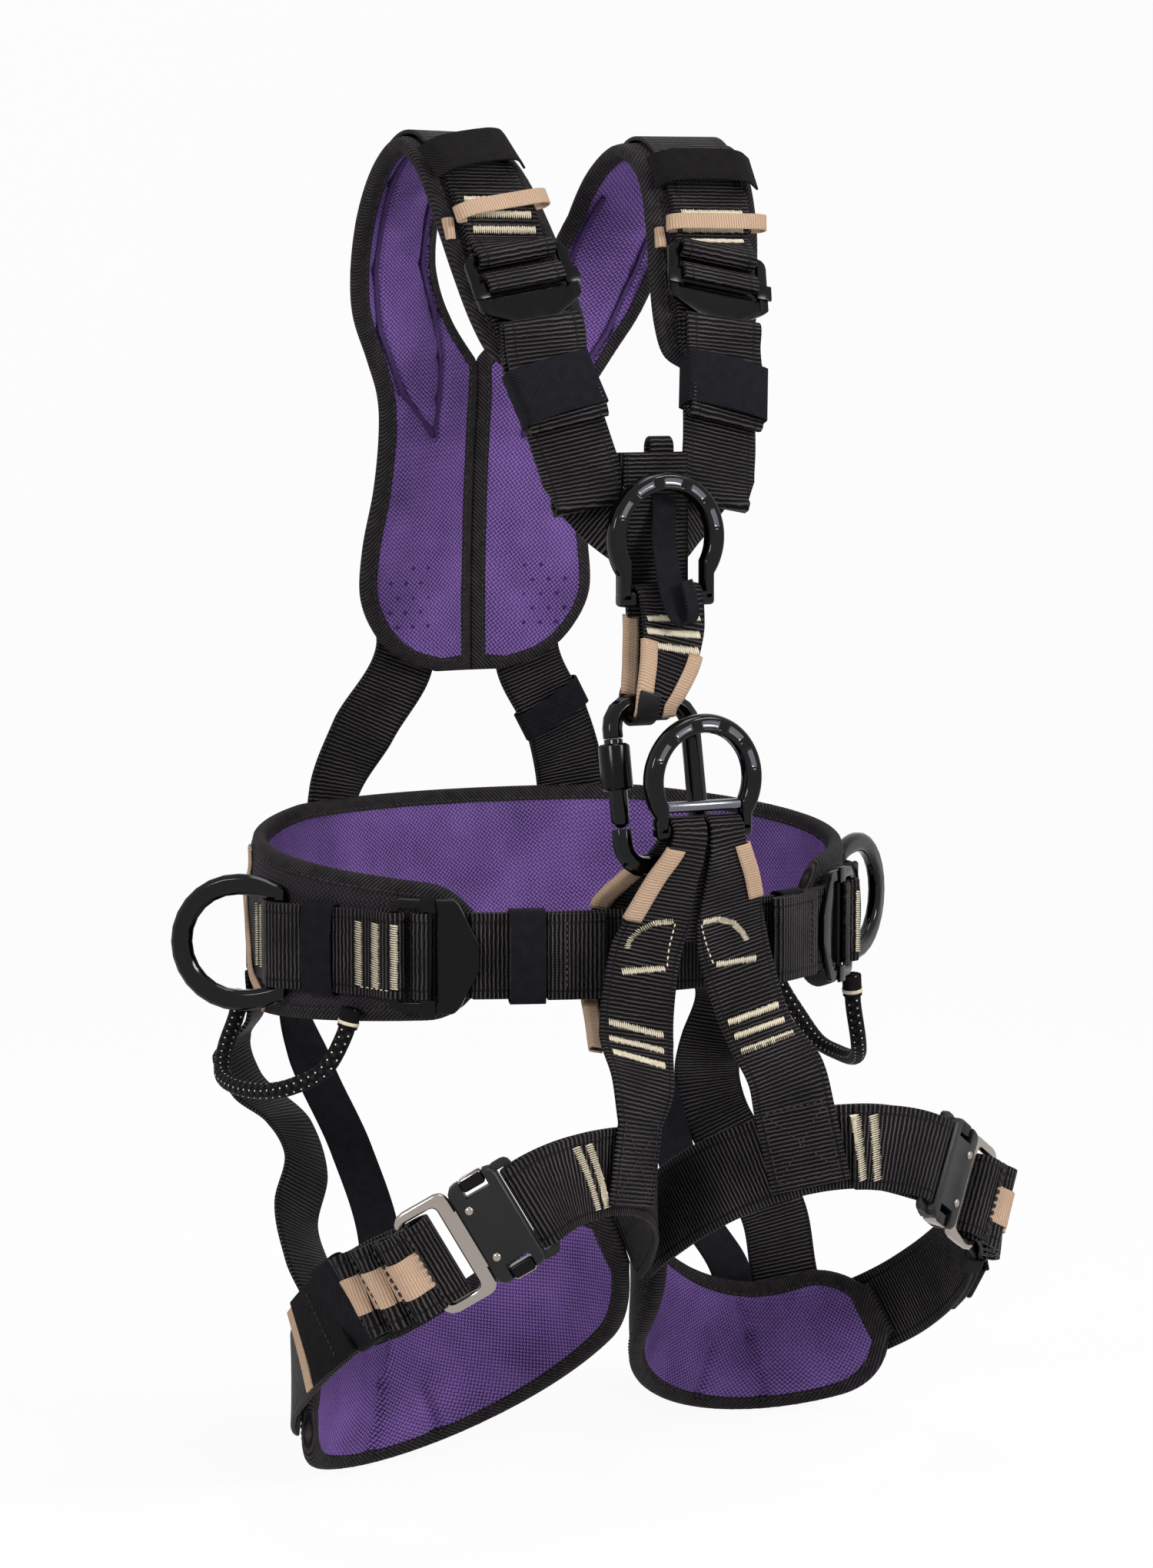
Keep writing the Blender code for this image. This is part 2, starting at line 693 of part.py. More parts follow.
def hook(seat):
    """The end of a strap round the sliding bar, from its free top end to the layer under the shield."""
    turn = [seat.station(SLIDER_REST + LAYER_GAP * 2, EYE_RADIUS)]
    for n in range(BEND_STEPS + 1):
        a = math.radians(90 + 180 * n / BEND_STEPS)
        turn.append(seat.station(HOOK_CENTRE + EYE_RADIUS * math.cos(a), EYE_RADIUS * math.sin(a)))
    turn.append(seat.station(SLIDER_REST, -EYE_RADIUS))
    turn.append(seat.station(ADJUSTER_LENGTH / 2, -EYE_RADIUS))
    return turn


# Webbing on the waist, with a bulge over each side ring's bar

def bulge(angle):
    rise = RING_BAR + LAYER_GAP * 2
    near = abs(abs(angle) - SIDE_RING_ANGLE) / BULGE_SPAN
    return ON_PAD + (rise * (0.5 + 0.5 * math.cos(math.pi * near)) if near < 1 else 0.0)


def waist_straps():
    seat = waist_seat()
    half, tail = [], []
    for angle in steps(0, WAIST_ADJUSTER - WAIST_EYE, WAIST_STEP / 2):
        half.append(WAIST.at(angle, bulge(angle)))
        tail.append(WAIST.at(angle, bulge(angle) + SECOND_LAYER))
    half = eye(half, tail[:-WAIST_TAIL - 1:-1], seat.v, seat.point(END_BAR, 0, 0), seat.u, seat.w, EYE_RADIUS)
    strap("waist_strap_back", mirrored(half)[::-1] + half[1:])
    front = hook(seat)
    for angle in steps(WAIST_ADJUSTER + WAIST_EYE, 180, WAIST_STEP):
        front.append(WAIST.at(angle, ON_PAD))
    strap("waist_strap_front", front + mirrored(front)[::-1][1:])
    for name, place in (("waist_adjuster_left", seat), ("waist_adjuster_right", seat.other_side())):
        adjuster(name, place)


# Webbing on the shoulders and back

def shoulder_straps(word, side):
    seat = shoulder_seat()
    path, tail = [], []
    for k in steps(SHOULDER_STRAP_FROM, SHOULDER_ADJUSTER - SHOULDER_EYE, SHOULDER_STEP):
        inward = max(SHOULDER_STRAP_STRAIGHT - k, 0.0)
        path.append(SHOULDER.at(k, ON_CURVE, -SHOULDER_STRAP_INWARD * inward))
        tail.append(SHOULDER.at(k, ON_CURVE + SECOND_LAYER))
    path = eye(path, tail[:-SHOULDER_TAIL - 1:-1], seat.v, seat.point(END_BAR, 0, 0), seat.u, seat.w, EYE_RADIUS)
    strap("shoulder_strap_" + word, on_side(path, side), square=False)
    front = hook(seat)
    front += [SHOULDER.at(k, ON_PAD) for k in CHEST_WEB_ON_PAD]
    widths = [WEB_WIDTH] * len(front) + [w for x, y, z, w in CHEST_WEB]
    front += [(Vector((x, y, z)), CHEST_ACROSS) for x, y, z, w in CHEST_WEB]
    strap("chest_web_" + word, on_side(front, side), widths)
    adjuster("shoulder_adjuster_" + word, seat if side > 0 else seat.other_side())


def back_strap(word, side):
    point, along, across, out = WAIST.axes(BACK_STRAP_ANGLE)
    path = [(point + out * ON_PAD + across * z, along) for z in BACK_STRAP_FEET]
    path.append((BACK_STRAP_FREE, ACROSS))
    path += [SHOULDER.at(k, ON_CURVE, sideways) for k, sideways in BACK_STRAP_TOP]
    strap("back_strap_" + word, on_side(path, side), BACK_STRAP_WIDTH)


def dorsal_seat():
    lean = math.radians(DORSAL_TILT)
    down = Vector((0, math.sin(lean), -math.cos(lean)))
    return Seat(Vector((0, DORSAL_FACE, DORSAL_Z)), down, Vector((0, math.cos(lean), math.sin(lean))))


def dorsal():
    """The plate that gathers the back straps, and the webbing loop that carries its ring."""
    seat = dorsal_seat()
    long, wide = DORSAL_HALF_LENGTH, DORSAL_HALF_WIDTH
    shape = round_rectangle(-long, -wide, long, wide, DORSAL_CORNER)
    plate("dorsal_plate", [shape], DORSAL_PLATE, MOULDED, seat.matrix(), DORSAL_CHAMFER)
    level = DORSAL_PLATE / 2 + LAYER_GAP + WEB_THICK / 2
    bar = seat.point(0, 0, level + RING_EYE_RADIUS)
    base = [seat.station(u, level) for u in DORSAL_LOOP]
    tail = [seat.station(u, level + SECOND_LAYER) for u in DORSAL_LOOP[::-1]]
    loop = eye(base, tail, seat.v, bar, seat.u, seat.w, RING_EYE_RADIUS)
    strap("dorsal_loop", loop, DORSAL_LOOP_WIDTH)
    turn = Matrix((ACROSS, seat.u, seat.w)).transposed().to_4x4()
    chest_ring("dorsal_ring", bar, turn, False)


# Straps of the chest and the front

def chest():
    yoke = [(Vector(place), UP) for place in YOKE]
    yoke += [(Vector((-x, y, z)), UP) for x, y, z in YOKE[::-1]]
    strap("chest_yoke", yoke, YOKE_WIDTH)
    strap("chest_band", [(Vector(place), UP) for place in BAND], BAND_WIDTH)


def sternal_strap():
    """Down behind the ring's bar, round the carabiner, up the front and over the bar."""
    bar, low = STERNAL_BAR, CARABINER_TOP
    loop = CARABINER_ROD + LAYER_GAP * 2 + WEB_THICK / 2
    back = bar.y + RING_EYE_RADIUS + SECOND_LAYER + LAYER_GAP
    front = bar.y - RING_EYE_RADIUS
    wide, middle, narrow = STERNAL_WIDE, STERNAL_MIDDLE, STERNAL_NARROW
    path = [
        (0.0, back, STERNAL_TOP, wide),
        (0.0, back, bar.z + 0.042, wide),
        (0.0, back, bar.z + 0.007, wide),
        (0.0, back - 0.0010, bar.z - 0.013, 0.95 * wide),
        (low.x * 0.4, low.y + 0.0150, low.z + 0.0205, middle),
        (low.x * 0.85, low.y + loop + 0.0010, low.z + 0.0065, narrow),
    ]
    for n in range(BEND_STEPS + 1):
        a = math.radians(180 * n / BEND_STEPS)
        path.append((low.x, low.y + loop * math.cos(a), low.z - loop * math.sin(a), STERNAL_LOOP))
    path += [
        (low.x * 0.85, low.y - loop - 0.0006, low.z + 0.0075, narrow),
        (low.x * 0.4, front - 0.0099, low.z + 0.0225, middle),
        (0.0, front - 0.0022, bar.z - 0.013, 0.95 * wide),
    ]
    for n in range(BEND_STEPS + 1):
        a = math.radians(180 * n / BEND_STEPS)
        path.append((0.0, bar.y - RING_EYE_RADIUS * math.cos(a), bar.z + RING_EYE_RADIUS * math.sin(a), wide))
    path.append((0.0, bar.y + RING_EYE_RADIUS - 0.0006, bar.z - 0.010, wide))
    strap("sternal_strap", [(Vector((x, y, z)), ACROSS) for x, y, z, w in path], [w for x, y, z, w in path])


def riser(word, side):
    """From behind the ventral bar, over it and down the front to the thigh strap."""
    bar, top_x = VENTRAL_BAR, RISER_TOP_X
    if side < 0:
        path = list(RISER_BACK)
    else:
        path = [(top_x, bar.y + RING_EYE_RADIUS, bar.z - 0.009, RISER_TOP_WIDTH)]
    for n in range(BEND_STEPS + 1):
        a = math.radians(180 * n / BEND_STEPS)
        y, z = bar.y + RING_EYE_RADIUS * math.cos(a), bar.z + RING_EYE_RADIUS * math.sin(a)
        path.append((top_x, y, z, RISER_TOP_WIDTH))
    path += RISER_FRONT
    stations = [(Vector((x, y, z)), ACROSS) for x, y, z, w in path]
    widths = [w for x, y, z, w in path] + [RISER_WIDTH] * (1 + len(RISER_FOOT))
    stations.append((RISER_TURN, RISER_TURN_ACROSS))
    point, along, across, out = LEG.axes(RISER_ANGLE)
    lift = out * (ON_CURVE + SECOND_LAYER + LAYER_GAP)
    stations += [(point + lift + across * sideways, along) for sideways in RISER_FOOT]
    strap("riser_" + word, on_side(stations, side), widths)


# Thigh loops with their quick-release buckles

def leg_seat():
    return seat_on(LEG, LEG_BUCKLE, ON_CURVE + EYE_RADIUS, BUCKLE_BACK, BUCKLE_DOWN)


def on_thigh(angle):
    """A station of a thigh strap, lifted a little more where it lies on the end of the pad."""
    on_pad = angle > THIGH_PAD_FROM - LEG_STEP or angle < THIGH_PAD_TO - 360 + LEG_STEP
    return LEG.at(angle, ON_CURVE + LAYER_GAP * 2 if on_pad else ON_CURVE)


def leg_straps(word, side):
    seat = leg_seat()
    front = [on_thigh(angle) for angle in steps(*FRONT_STRAP, LEG_STEP)]
    tail = [LEG.at(angle, ON_CURVE + SECOND_LAYER) for angle in FRONT_TAIL]
    front = eye(front, tail, seat.v, seat.point(HOUSING_BAR, 0, 0), seat.u, seat.w, EYE_RADIUS)
    strap("thigh_strap_front_" + word, on_side(front, side), square=False)
    outer = [on_thigh(angle) for angle in steps(*OUTER_STRAP, LEG_STEP)]
    tail = [LEG.at(angle, ON_CURVE + SECOND_LAYER) for angle in OUTER_TAIL]
    outer = eye(outer, tail, seat.v, seat.point(TONGUE_END_BAR, 0, 0), -seat.u, seat.w, EYE_RADIUS)
    strap("thigh_strap_outer_" + word, on_side(outer, side), square=False)
    leg_buckle("leg_buckle_" + word, seat if side > 0 else seat.other_side())


def leg_buckle(name, seat):
    half_length, half_width, half_slot = HOUSING_LENGTH / 2, HOUSING_WIDTH / 2, BUCKLE_SLOT / 2
    rear = HOUSING_REAR - half_length
    loop = round_rectangle(-half_length, -half_width, rear + HOUSING_RAIL, half_width, HOUSING_RAIL)
    slot = round_rectangle(HOUSING_RAIL - half_length, -half_slot, rear, half_slot, LATCH_CHAMFER, 2)
    housing = plate(name + "_housing", [loop, slot], HOUSING_LOOP, BLACK_STEEL, seat.matrix())
    body = round_rectangle(rear, -half_width, half_length, half_width, HOUSING_CORNER)
    combine(housing, as_mesh(outline("body", [body], HOUSING_THICK, HOUSING_CHAMFER)), "UNION")
    mouth = TONGUE_TAB / 2 + PART_GAP
    tall = TONGUE_THICK / 2 + PART_GAP
    depth = TONGUE_TIP - PART_GAP * 2
    combine(housing, block((depth, -mouth, -tall), (HOUSING_LENGTH, mouth, tall)), "DIFFERENCE")
    floor = LATCH_OUTER - LATCH_DEPTH - LATCH_TRAVEL
    stop = LATCH_START + LATCH_LENGTH
    for end in (-1, 1):
        near, far = sorted((end * floor, end * HOUSING_WIDTH))
        cut = block((LATCH_START - PART_GAP, near, -HOUSING_THICK), (stop + PART_GAP, far, HOUSING_THICK))
        combine(housing, cut, "DIFFERENCE")
        low, high = sorted((end * (LATCH_OUTER - LATCH_DEPTH), end * LATCH_OUTER))
        lever = round_rectangle(LATCH_START, low, stop, high, LATCH_CHAMFER * 3, 2)
        word = "_upper_latch" if end * seat.v.z > 0 else "_lower_latch"
        thick = HOUSING_THICK - HOUSING_CHAMFER * 2.5
        plate(name + word, [lever], thick, BLACK_STEEL, seat.matrix(), LATCH_CHAMFER)
    tab, wide, end = TONGUE_TAB / 2, TONGUE_WIDTH / 2, TONGUE_START + TONGUE_LENGTH
    near, far = TONGUE_RAIL * 1.5, TONGUE_RAIL * 1.75
    shape = [(TONGUE_TIP, -tab), (TONGUE_START, -tab)]
    shape += arc(TONGUE_START + near, near - wide, near, 180, 270, 3)
    shape += arc(end - far, far - wide, far, 270, 360, 3)
    shape += [(x, -y) for x, y in shape[::-1]]
    sill = TONGUE_START + TONGUE_RAIL * 2
    window = round_rectangle(sill, -half_slot, end - TONGUE_RAIL, half_slot, TONGUE_RAIL * 0.75)
    plate(name + "_tongue", [shape, window], TONGUE_THICK, POLISHED, seat.matrix(), TONGUE_CHAMFER)


# Straps from the waist pad to the back of the thigh pads

def rear_strap(angles, top, free, across_free):
    """From the waist pad at one angle, through its free points, to the thigh pad at the other."""
    point, along, across, out = WAIST.axes(angles[0])
    path = [(point + out * ON_PAD + across * z, along) for z in top]
    path += [(Vector(place), across_free) for place in free]
    point, along, across, out = LEG.axes(angles[1])
    path += [(point + out * (ON_CURVE + LAYER_GAP) + across * sideways, along) for sideways in REAR_FOOT]
    return path


def rear_straps(word, side):
    band = rear_strap(REAR_ELASTIC_ANGLES, REAR_ELASTIC_TOP, REAR_ELASTIC, ACROSS)
    strap("rear_elastic_" + word, on_side(band, side), REAR_ELASTIC_WIDTH, ELASTIC)
    web = rear_strap(REAR_WEB_ANGLES, REAR_WEB_TOP, REAR_WEB, REAR_WEB_ACROSS)
    strap("rear_web_" + word, on_side(web, side), REAR_WEB_WIDTH)


# Elastic keepers that hold the strap tails

def keeper(name, seat, length):
    wide = WEB_WIDTH / 2 + LAYER_GAP
    tall = WEB_THICK / 2 + LAYER_GAP
    wall = KEEPER_WALL
    outer = round_rectangle(-wide - wall, -tall - wall, wide + wall, tall + wall, wall + PART_GAP, 2)
    inner = round_rectangle(-wide, -tall, wide, tall, PART_GAP, 1)
    turn = Matrix((seat.v, seat.w, seat.u)).transposed().to_4x4()
    plate(name, [outer, inner], length, ELASTIC, Matrix.Translation(seat.origin) @ turn)


def keepers():
    point, along, across, out = WAIST.axes(WAIST_KEEPER)
    place = Seat(point + out * ON_PAD, along, out)
    keeper("waist_keeper_left", place, WAIST_KEEPER_LENGTH)
    keeper("waist_keeper_right", place.other_side(), WAIST_KEEPER_LENGTH)
    high, low = (Vector(row[:3]) for row in CHEST_WEB[:2])
    way = low - high
    place = Seat((low + high) / 2, way, CHEST_ACROSS.cross(way))
    keeper("chest_keeper_left", place, CHEST_KEEPER_LENGTH)
    keeper("chest_keeper_right", place.other_side(), CHEST_KEEPER_LENGTH)


# Forged rings

def chest_ring(name, bar, matrix, crossbar):
    """An eye over a webbing slot; the webbing bar lies on the origin."""
    inner, half_slot = RING_OUTER - RING_SECTION, RING_SLOT / 2
    foot, half_foot = RING_BAR / 2, half_slot + RING_SHOULDER
    corner, fillet = RING_CORNER, RING_FILLET
    join = math.degrees(math.asin(half_foot / RING_OUTER))
    outer = arc(0, RING_RISE, RING_OUTER, join - 90, 270 - join, 22)
    outer += arc(corner - half_foot, corner - foot, corner, 180, 270, 2)
    outer += arc(half_foot - corner, corner - foot, corner, 270, 360, 2)
    if crossbar:
        reach = math.degrees(math.asin(RING_SHOULDER / inner))
        eye_hole = arc(0, RING_RISE, inner, -reach, 180 + reach, 18)
        top = RING_RISE - RING_SHOULDER - RING_CROSSBAR
        holes = [eye_hole, round_rectangle(-half_slot, foot, half_slot, top, fillet, 2)]
    else:
        reach = math.degrees(math.acos(half_slot / inner))
        hole = arc(0, RING_RISE, inner, -reach, 180 + reach, 18)
        hole += arc(fillet - half_slot, foot + fillet, fillet, 180, 270, 2)
        hole += arc(half_slot - fillet, foot + fillet, fillet, 270, 360, 2)
        holes = [hole]
    plate(name, [outer] + holes, RING_THICK, FORGED, Matrix.Translation(bar) @ matrix, RING_CHAMFER)


def side_ring(name, seat):
    """A D-shaped ring whose straight bar runs under the waist strap."""
    half = RING_BAR / 2
    inner = SIDE_RING_RADIUS - SIDE_RING_SECTION
    outer = arc(SIDE_RING_REACH, 0, SIDE_RING_RADIUS, -90, 90, 14)
    corner = RING_FILLET * 2
    outer += arc(corner - half, SIDE_RING_RADIUS - corner, corner, 90, 180, 2)
    outer += arc(corner - half, corner - SIDE_RING_RADIUS, corner, 180, 270, 2)
    hole = arc(SIDE_RING_REACH, 0, inner, -90, 90, 12)
    hole += [(half, inner), (half, -inner)]
    plate(name, [outer, hole], SIDE_RING_THICK, FORGED, seat.matrix(), RING_CHAMFER)


def side_ring_seat():
    point, along, across, out = WAIST.axes(SIDE_RING_ANGLE)
    bar = point + out * (PAD_THICK / 2 + LAYER_GAP + RING_BAR / 2)
    swing = math.radians(SIDE_RING_SWING)
    reach = out * math.cos(swing) - along * math.sin(swing)
    return Seat(bar, reach, reach.cross(UP))


def rings():
    upright = Matrix.Rotation(math.radians(90), 4, "X")
    chest_ring("sternal_ring", STERNAL_BAR, upright, False)
    chest_ring("ventral_ring", VENTRAL_BAR, upright, True)
    side_ring("side_ring_left", side_ring_seat())
    side_ring("side_ring_right", side_ring_seat().other_side())


# Carabiner

def carabiner():
    up = (CARABINER_TOP - CARABINER_FOOT).normalized()
    half = (CARABINER_TOP - CARABINER_FOOT).length / 2
    middle = (CARABINER_TOP + CARABINER_FOOT) / 2
    wide, corner = CARABINER_HALF_WIDTH, CARABINER_CORNER
    seat = Seat(middle, ACROSS, ACROSS.cross(up))
    path = [(-wide, GATE_HIGH)]
    path += arc(-wide + corner, half - corner, corner, 180, 90, 4)
    path += arc(wide - corner, half - corner, corner, 90, 0, 4)
    path += arc(wide - corner, -half + corner, corner, 0, -90, 4)
    path += arc(-wide + corner, -half + corner, corner, -90, -180, 4)
    path += [(-wide, -GATE_LOW)]
    tube("carabiner_body", [seat.point(x, z, 0) for x, z in path], CARABINER_ROD, FORGED)
    turn = Matrix((seat.u, -seat.w, seat.v)).transposed().to_4x4()
    hinge = seat.point(-wide, PART_GAP - GATE_LOW + GATE_RADIUS, 0)
    length = GATE_HIGH + GATE_LOW - PART_GAP * 2 - GATE_RADIUS
    add("carabiner_gate", gate_mesh(length), FORGED, Matrix.Translation(hinge) @ turn)
    ring = []
    for radius in (SLEEVE_RADIUS, GATE_RADIUS + PART_GAP):
        ring.append(arc(0, 0, radius, 0, 360 - 360 / SLEEVE_SIDES, SLEEVE_SIDES - 1))
    centre = seat.point(-wide, GATE_HIGH - SLEEVE_DROP - SLEEVE_LENGTH / 2, 0)
    place = Matrix.Translation(centre) @ turn
    plate("carabiner_sleeve", ring, SLEEVE_LENGTH, BLACK_STEEL, place, SLEEVE_CHAMFER)


def gate_mesh(length):
    """A turned bar with its hinge at the origin, in the middle of its domed end."""
    mesh = bpy.data.meshes.new("gate")
    bm = bmesh.new()
    profile = arc(0, 0, GATE_RADIUS, -90, 0, 4) + [(GATE_RADIUS, length), (0, length)]
    line = [bm.verts.new((x, 0, z)) for x, z in profile]
    rail = [bm.edges.new(pair) for pair in zip(line, line[1:])]
    bmesh.ops.spin(
        bm, geom=line + rail, axis=UP, cent=(0, 0, 0), angle=math.tau, steps=GATE_SIDES, use_merge=True
    )
    bmesh.ops.remove_doubles(bm, verts=bm.verts, dist=PART_GAP / 100)
    bmesh.ops.recalc_face_normals(bm, faces=bm.faces)
    bm.to_mesh(mesh)
    bm.free()
    return mesh


# Gear loops on the waist pad; the left one hangs lower and closer to the pad

def gear_loop(word, side):
    points = []
    for angle, off, z in GEAR_ROUTE:
        if side > 0:
            off = GEAR_SEAT + (off - GEAR_SEAT) * GEAR_LEFT_SPREAD
            z = z * GEAR_LEFT_DEEPER
        place = WAIST.at(angle, off, z)[0]
        points.append(Vector((place.x * side, place.y, place.z)))
    path = [smooth(points, (len(points) - 1) * n / GEAR_POINTS) for n in range(GEAR_POINTS + 1)]
    tube("gear_loop_" + word, path, GEAR_CORD / 2, CORD)


waist_pad()
waist_straps()
for word, side in (("left", 1), ("right", -1)):
    shoulder_pad("shoulder_pad_" + word, side)
    thigh_pad("thigh_pad_" + word, side)
    shoulder_straps(word, side)
    back_strap(word, side)
    riser(word, side)
    leg_straps(word, side)
    rear_straps(word, side)
    gear_loop(word, side)
chest()
sternal_strap()
keepers()
dorsal()
rings()
carabiner()
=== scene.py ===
"""Looks of a padded full-body climbing harness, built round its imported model."""

import json
import math

import bmesh
import bpy
import numpy as np
from mathutils import Matrix, Vector, noise

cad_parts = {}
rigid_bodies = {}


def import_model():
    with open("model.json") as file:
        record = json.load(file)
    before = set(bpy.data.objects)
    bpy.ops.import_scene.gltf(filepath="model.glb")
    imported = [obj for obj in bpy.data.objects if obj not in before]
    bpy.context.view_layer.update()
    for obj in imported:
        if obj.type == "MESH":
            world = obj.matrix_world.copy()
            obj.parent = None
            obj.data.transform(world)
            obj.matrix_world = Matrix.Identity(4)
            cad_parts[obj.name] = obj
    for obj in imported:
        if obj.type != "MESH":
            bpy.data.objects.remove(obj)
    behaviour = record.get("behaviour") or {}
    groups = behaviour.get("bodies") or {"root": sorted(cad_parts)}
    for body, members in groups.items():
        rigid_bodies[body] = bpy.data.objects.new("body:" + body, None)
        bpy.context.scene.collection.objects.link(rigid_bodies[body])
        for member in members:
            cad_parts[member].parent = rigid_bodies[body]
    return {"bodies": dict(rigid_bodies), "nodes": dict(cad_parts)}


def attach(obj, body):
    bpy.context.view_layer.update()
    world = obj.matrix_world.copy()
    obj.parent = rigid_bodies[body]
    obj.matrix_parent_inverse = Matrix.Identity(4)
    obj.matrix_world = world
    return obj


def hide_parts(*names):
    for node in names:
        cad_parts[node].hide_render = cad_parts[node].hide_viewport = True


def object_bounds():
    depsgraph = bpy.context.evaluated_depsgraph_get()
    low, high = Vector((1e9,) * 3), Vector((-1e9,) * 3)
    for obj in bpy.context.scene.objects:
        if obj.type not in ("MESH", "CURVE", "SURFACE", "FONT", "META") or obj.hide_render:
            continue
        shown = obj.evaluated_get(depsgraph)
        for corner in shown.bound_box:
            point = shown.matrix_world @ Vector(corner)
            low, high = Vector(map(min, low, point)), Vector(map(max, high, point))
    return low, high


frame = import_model()
cad_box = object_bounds()

# Camera: level with the belt, a little above it, and turned to the wearer's right.
# A long lens a good two metres away keeps the far strap ends in proportion.
AIM, CAMERA_AWAY = Vector((0.0049, -0.0026, 0.075)), 2.26
turn, rise = math.radians(-28.0), math.radians(6.3)
away = Vector((math.sin(turn) * math.cos(rise), -math.cos(turn) * math.cos(rise), math.sin(rise)))
lens = bpy.data.cameras.new("studio_camera")
lens.lens = 95.0
lens.sensor_width = 36.0
camera = bpy.data.objects.new("studio_camera", lens)
camera.location = AIM + away * CAMERA_AWAY
camera.rotation_euler = away.to_track_quat("Z", "Y").to_euler()
bpy.context.scene.collection.objects.link(camera)
bpy.context.scene.camera = camera
bpy.context.scene.view_settings.view_transform = "Standard"

# Gear loops: nine-millimetre accessory cord with a black braided sheath and rows of white flecks.
# Each is led along the belt's lower edge and sewn to the pad at both ends, so it keeps a set curve.
UP = Vector((0, 0, 1))
ACROSS = Vector((1, 0, 0))
SIDES = {"left": 1, "right": -1}
PAD_THICK, LAYER_GAP = 0.010, 0.0005
BELT_HALF_WIDTH, BELT_HALF_DEPTH, BELT_BACK = 0.1655, 0.128, 0.018
CORD_THICK, CORD_PIECES = 0.009, 90


def smooth(points, k):
    """Read a Catmull-Rom curve through the points at k, counted in points."""
    i = min(max(int(math.floor(k)), 0), len(points) - 2)
    t = k - i
    before, after = points[max(i - 1, 0)], points[min(i + 2, len(points) - 1)]
    a, b = points[i], points[i + 1]
    t2, t3 = t * t, t * t * t
    bend = (b - before) * 0.5 * (t3 - 2 * t2 + t) + (after - a) * 0.5 * (t3 - t2)
    return a * (2 * t3 - 3 * t2 + 1) + b * (3 * t2 - 2 * t3) + bend


class Route:
    """A way round the wearer: place(k) gives a point and the direction across a strap there."""

    def __init__(self, place, inside):
        self.place = place
        self.inside = inside

    def axes(self, k):
        point, across = self.place(k)
        along = (self.place(k + 0.01)[0] - self.place(k - 0.01)[0]).normalized()
        across = (across - along * across.dot(along)).normalized()
        out = along.cross(across)
        if out.dot(point - self.inside(point)) < 0:
            out = -out
        return point, along, across, out

    def at(self, k, off, side=0.0):
        point, along, across, out = self.axes(k)
        across = self.place(k)[1].normalized()
        return point + out * off + across * side, across


def belt_place(angle):
    a = math.radians(angle)
    return Vector((BELT_HALF_WIDTH * math.sin(a), BELT_BACK + BELT_HALF_DEPTH * math.cos(a), 0.0)), UP


BELT = Route(belt_place, lambda p: Vector((0, BELT_BACK, p.z)))
CORD_SEAT = PAD_THICK / 2 + CORD_THICK / 2 + LAYER_GAP
CORD_ROUTE = [
    (119.0, CORD_SEAT, -0.030),
    (117.5, 0.0120, -0.045),
    (114.5, 0.0180, -0.062),
    (108.0, 0.0220, -0.072),
    (101.0, 0.0240, -0.077),
    (92.5, 0.0260, -0.078),
    (84.5, 0.0260, -0.075),
    (79.0, 0.0210, -0.063),
    (74.5, 0.0140, -0.049),
    (72.0, CORD_SEAT, -0.036),
]
LEFT_DEEPER, LEFT_SPREAD = 1.16, 0.45


def tint(code):
    """Linear colour of an sRGB hex value."""
    parts = [int(code[n:n + 2], 16) / 255 for n in (1, 3, 5)]
    return tuple(p / 12.92 if p <= 0.04045 else ((p + 0.055) / 1.055) ** 2.4 for p in parts) + (1.0,)


def add(tree, kind, inputs=None, **settings):
    """Add a node with its settings and values; a node or a socket given as a value is linked."""
    made = tree.nodes.new("ShaderNode" + kind)
    for key, value in settings.items():
        setattr(made, key, value)
    for key, value in (inputs or {}).items():
        if isinstance(value, bpy.types.Node):
            value = value.outputs[0]
        if isinstance(value, bpy.types.NodeSocket):
            tree.links.new(value, made.inputs[key])
        else:
            made.inputs[key].default_value = value
    return made


def new_finish(name):
    """A material with only its output, ready for its own nodes."""
    made = bpy.data.materials.new(name)
    made.use_nodes = True
    made.node_tree.nodes.clear()
    return made, made.node_tree


def surface(tree, colour, height, depth, roughness, **more):
    """Close a material: a principled surface with a bump of the given depth in metres."""
    bump = add(tree, "Bump", {"Height": height, "Distance": depth, "Strength": 1.0})
    inputs = {"Base Color": colour, "Normal": bump, "Roughness": roughness}
    inputs.update(more)
    shader = add(tree, "BsdfPrincipled", inputs)
    add(tree, "OutputMaterial", {"Surface": shader})


# Braided polyester sheath: 16 carriers give a fine herringbone, and six carriers hold a white yarn.
BRAID_PITCH, CARRIERS_EACH_WAY = 0.0026, 8.0
FLECK_PITCH, FLECK_ROWS, FLECK_HALF_LONG, FLECK_HALF_WIDE = 0.0046, 6.0, 0.08, 0.09
braided_cord, tree = new_finish("braided_cord_flecked")
uv = add(tree, "UVMap", uv_map="weave")
spot = add(tree, "SeparateXYZ", {"Vector": uv})
lap = add(tree, "Math", {0: spot.outputs["X"], 1: 1 / BRAID_PITCH}, operation="MULTIPLY")
carrier = add(tree, "Math", {0: spot.outputs["Y"], 1: CARRIERS_EACH_WAY}, operation="MULTIPLY")
one_way = add(tree, "Math", {0: lap, 1: carrier}, operation="ADD")
other_way = add(tree, "Math", {0: lap, 1: carrier}, operation="SUBTRACT")
ridge_a = add(tree, "Math", {0: one_way, 1: 1.0}, operation="PINGPONG")
ridge_b = add(tree, "Math", {0: other_way, 1: 1.0}, operation="PINGPONG")
braid = add(tree, "Math", {0: ridge_a, 1: ridge_b}, operation="MULTIPLY")
row = add(tree, "Math", {0: spot.outputs["Y"], 1: FLECK_ROWS}, operation="MULTIPLY")
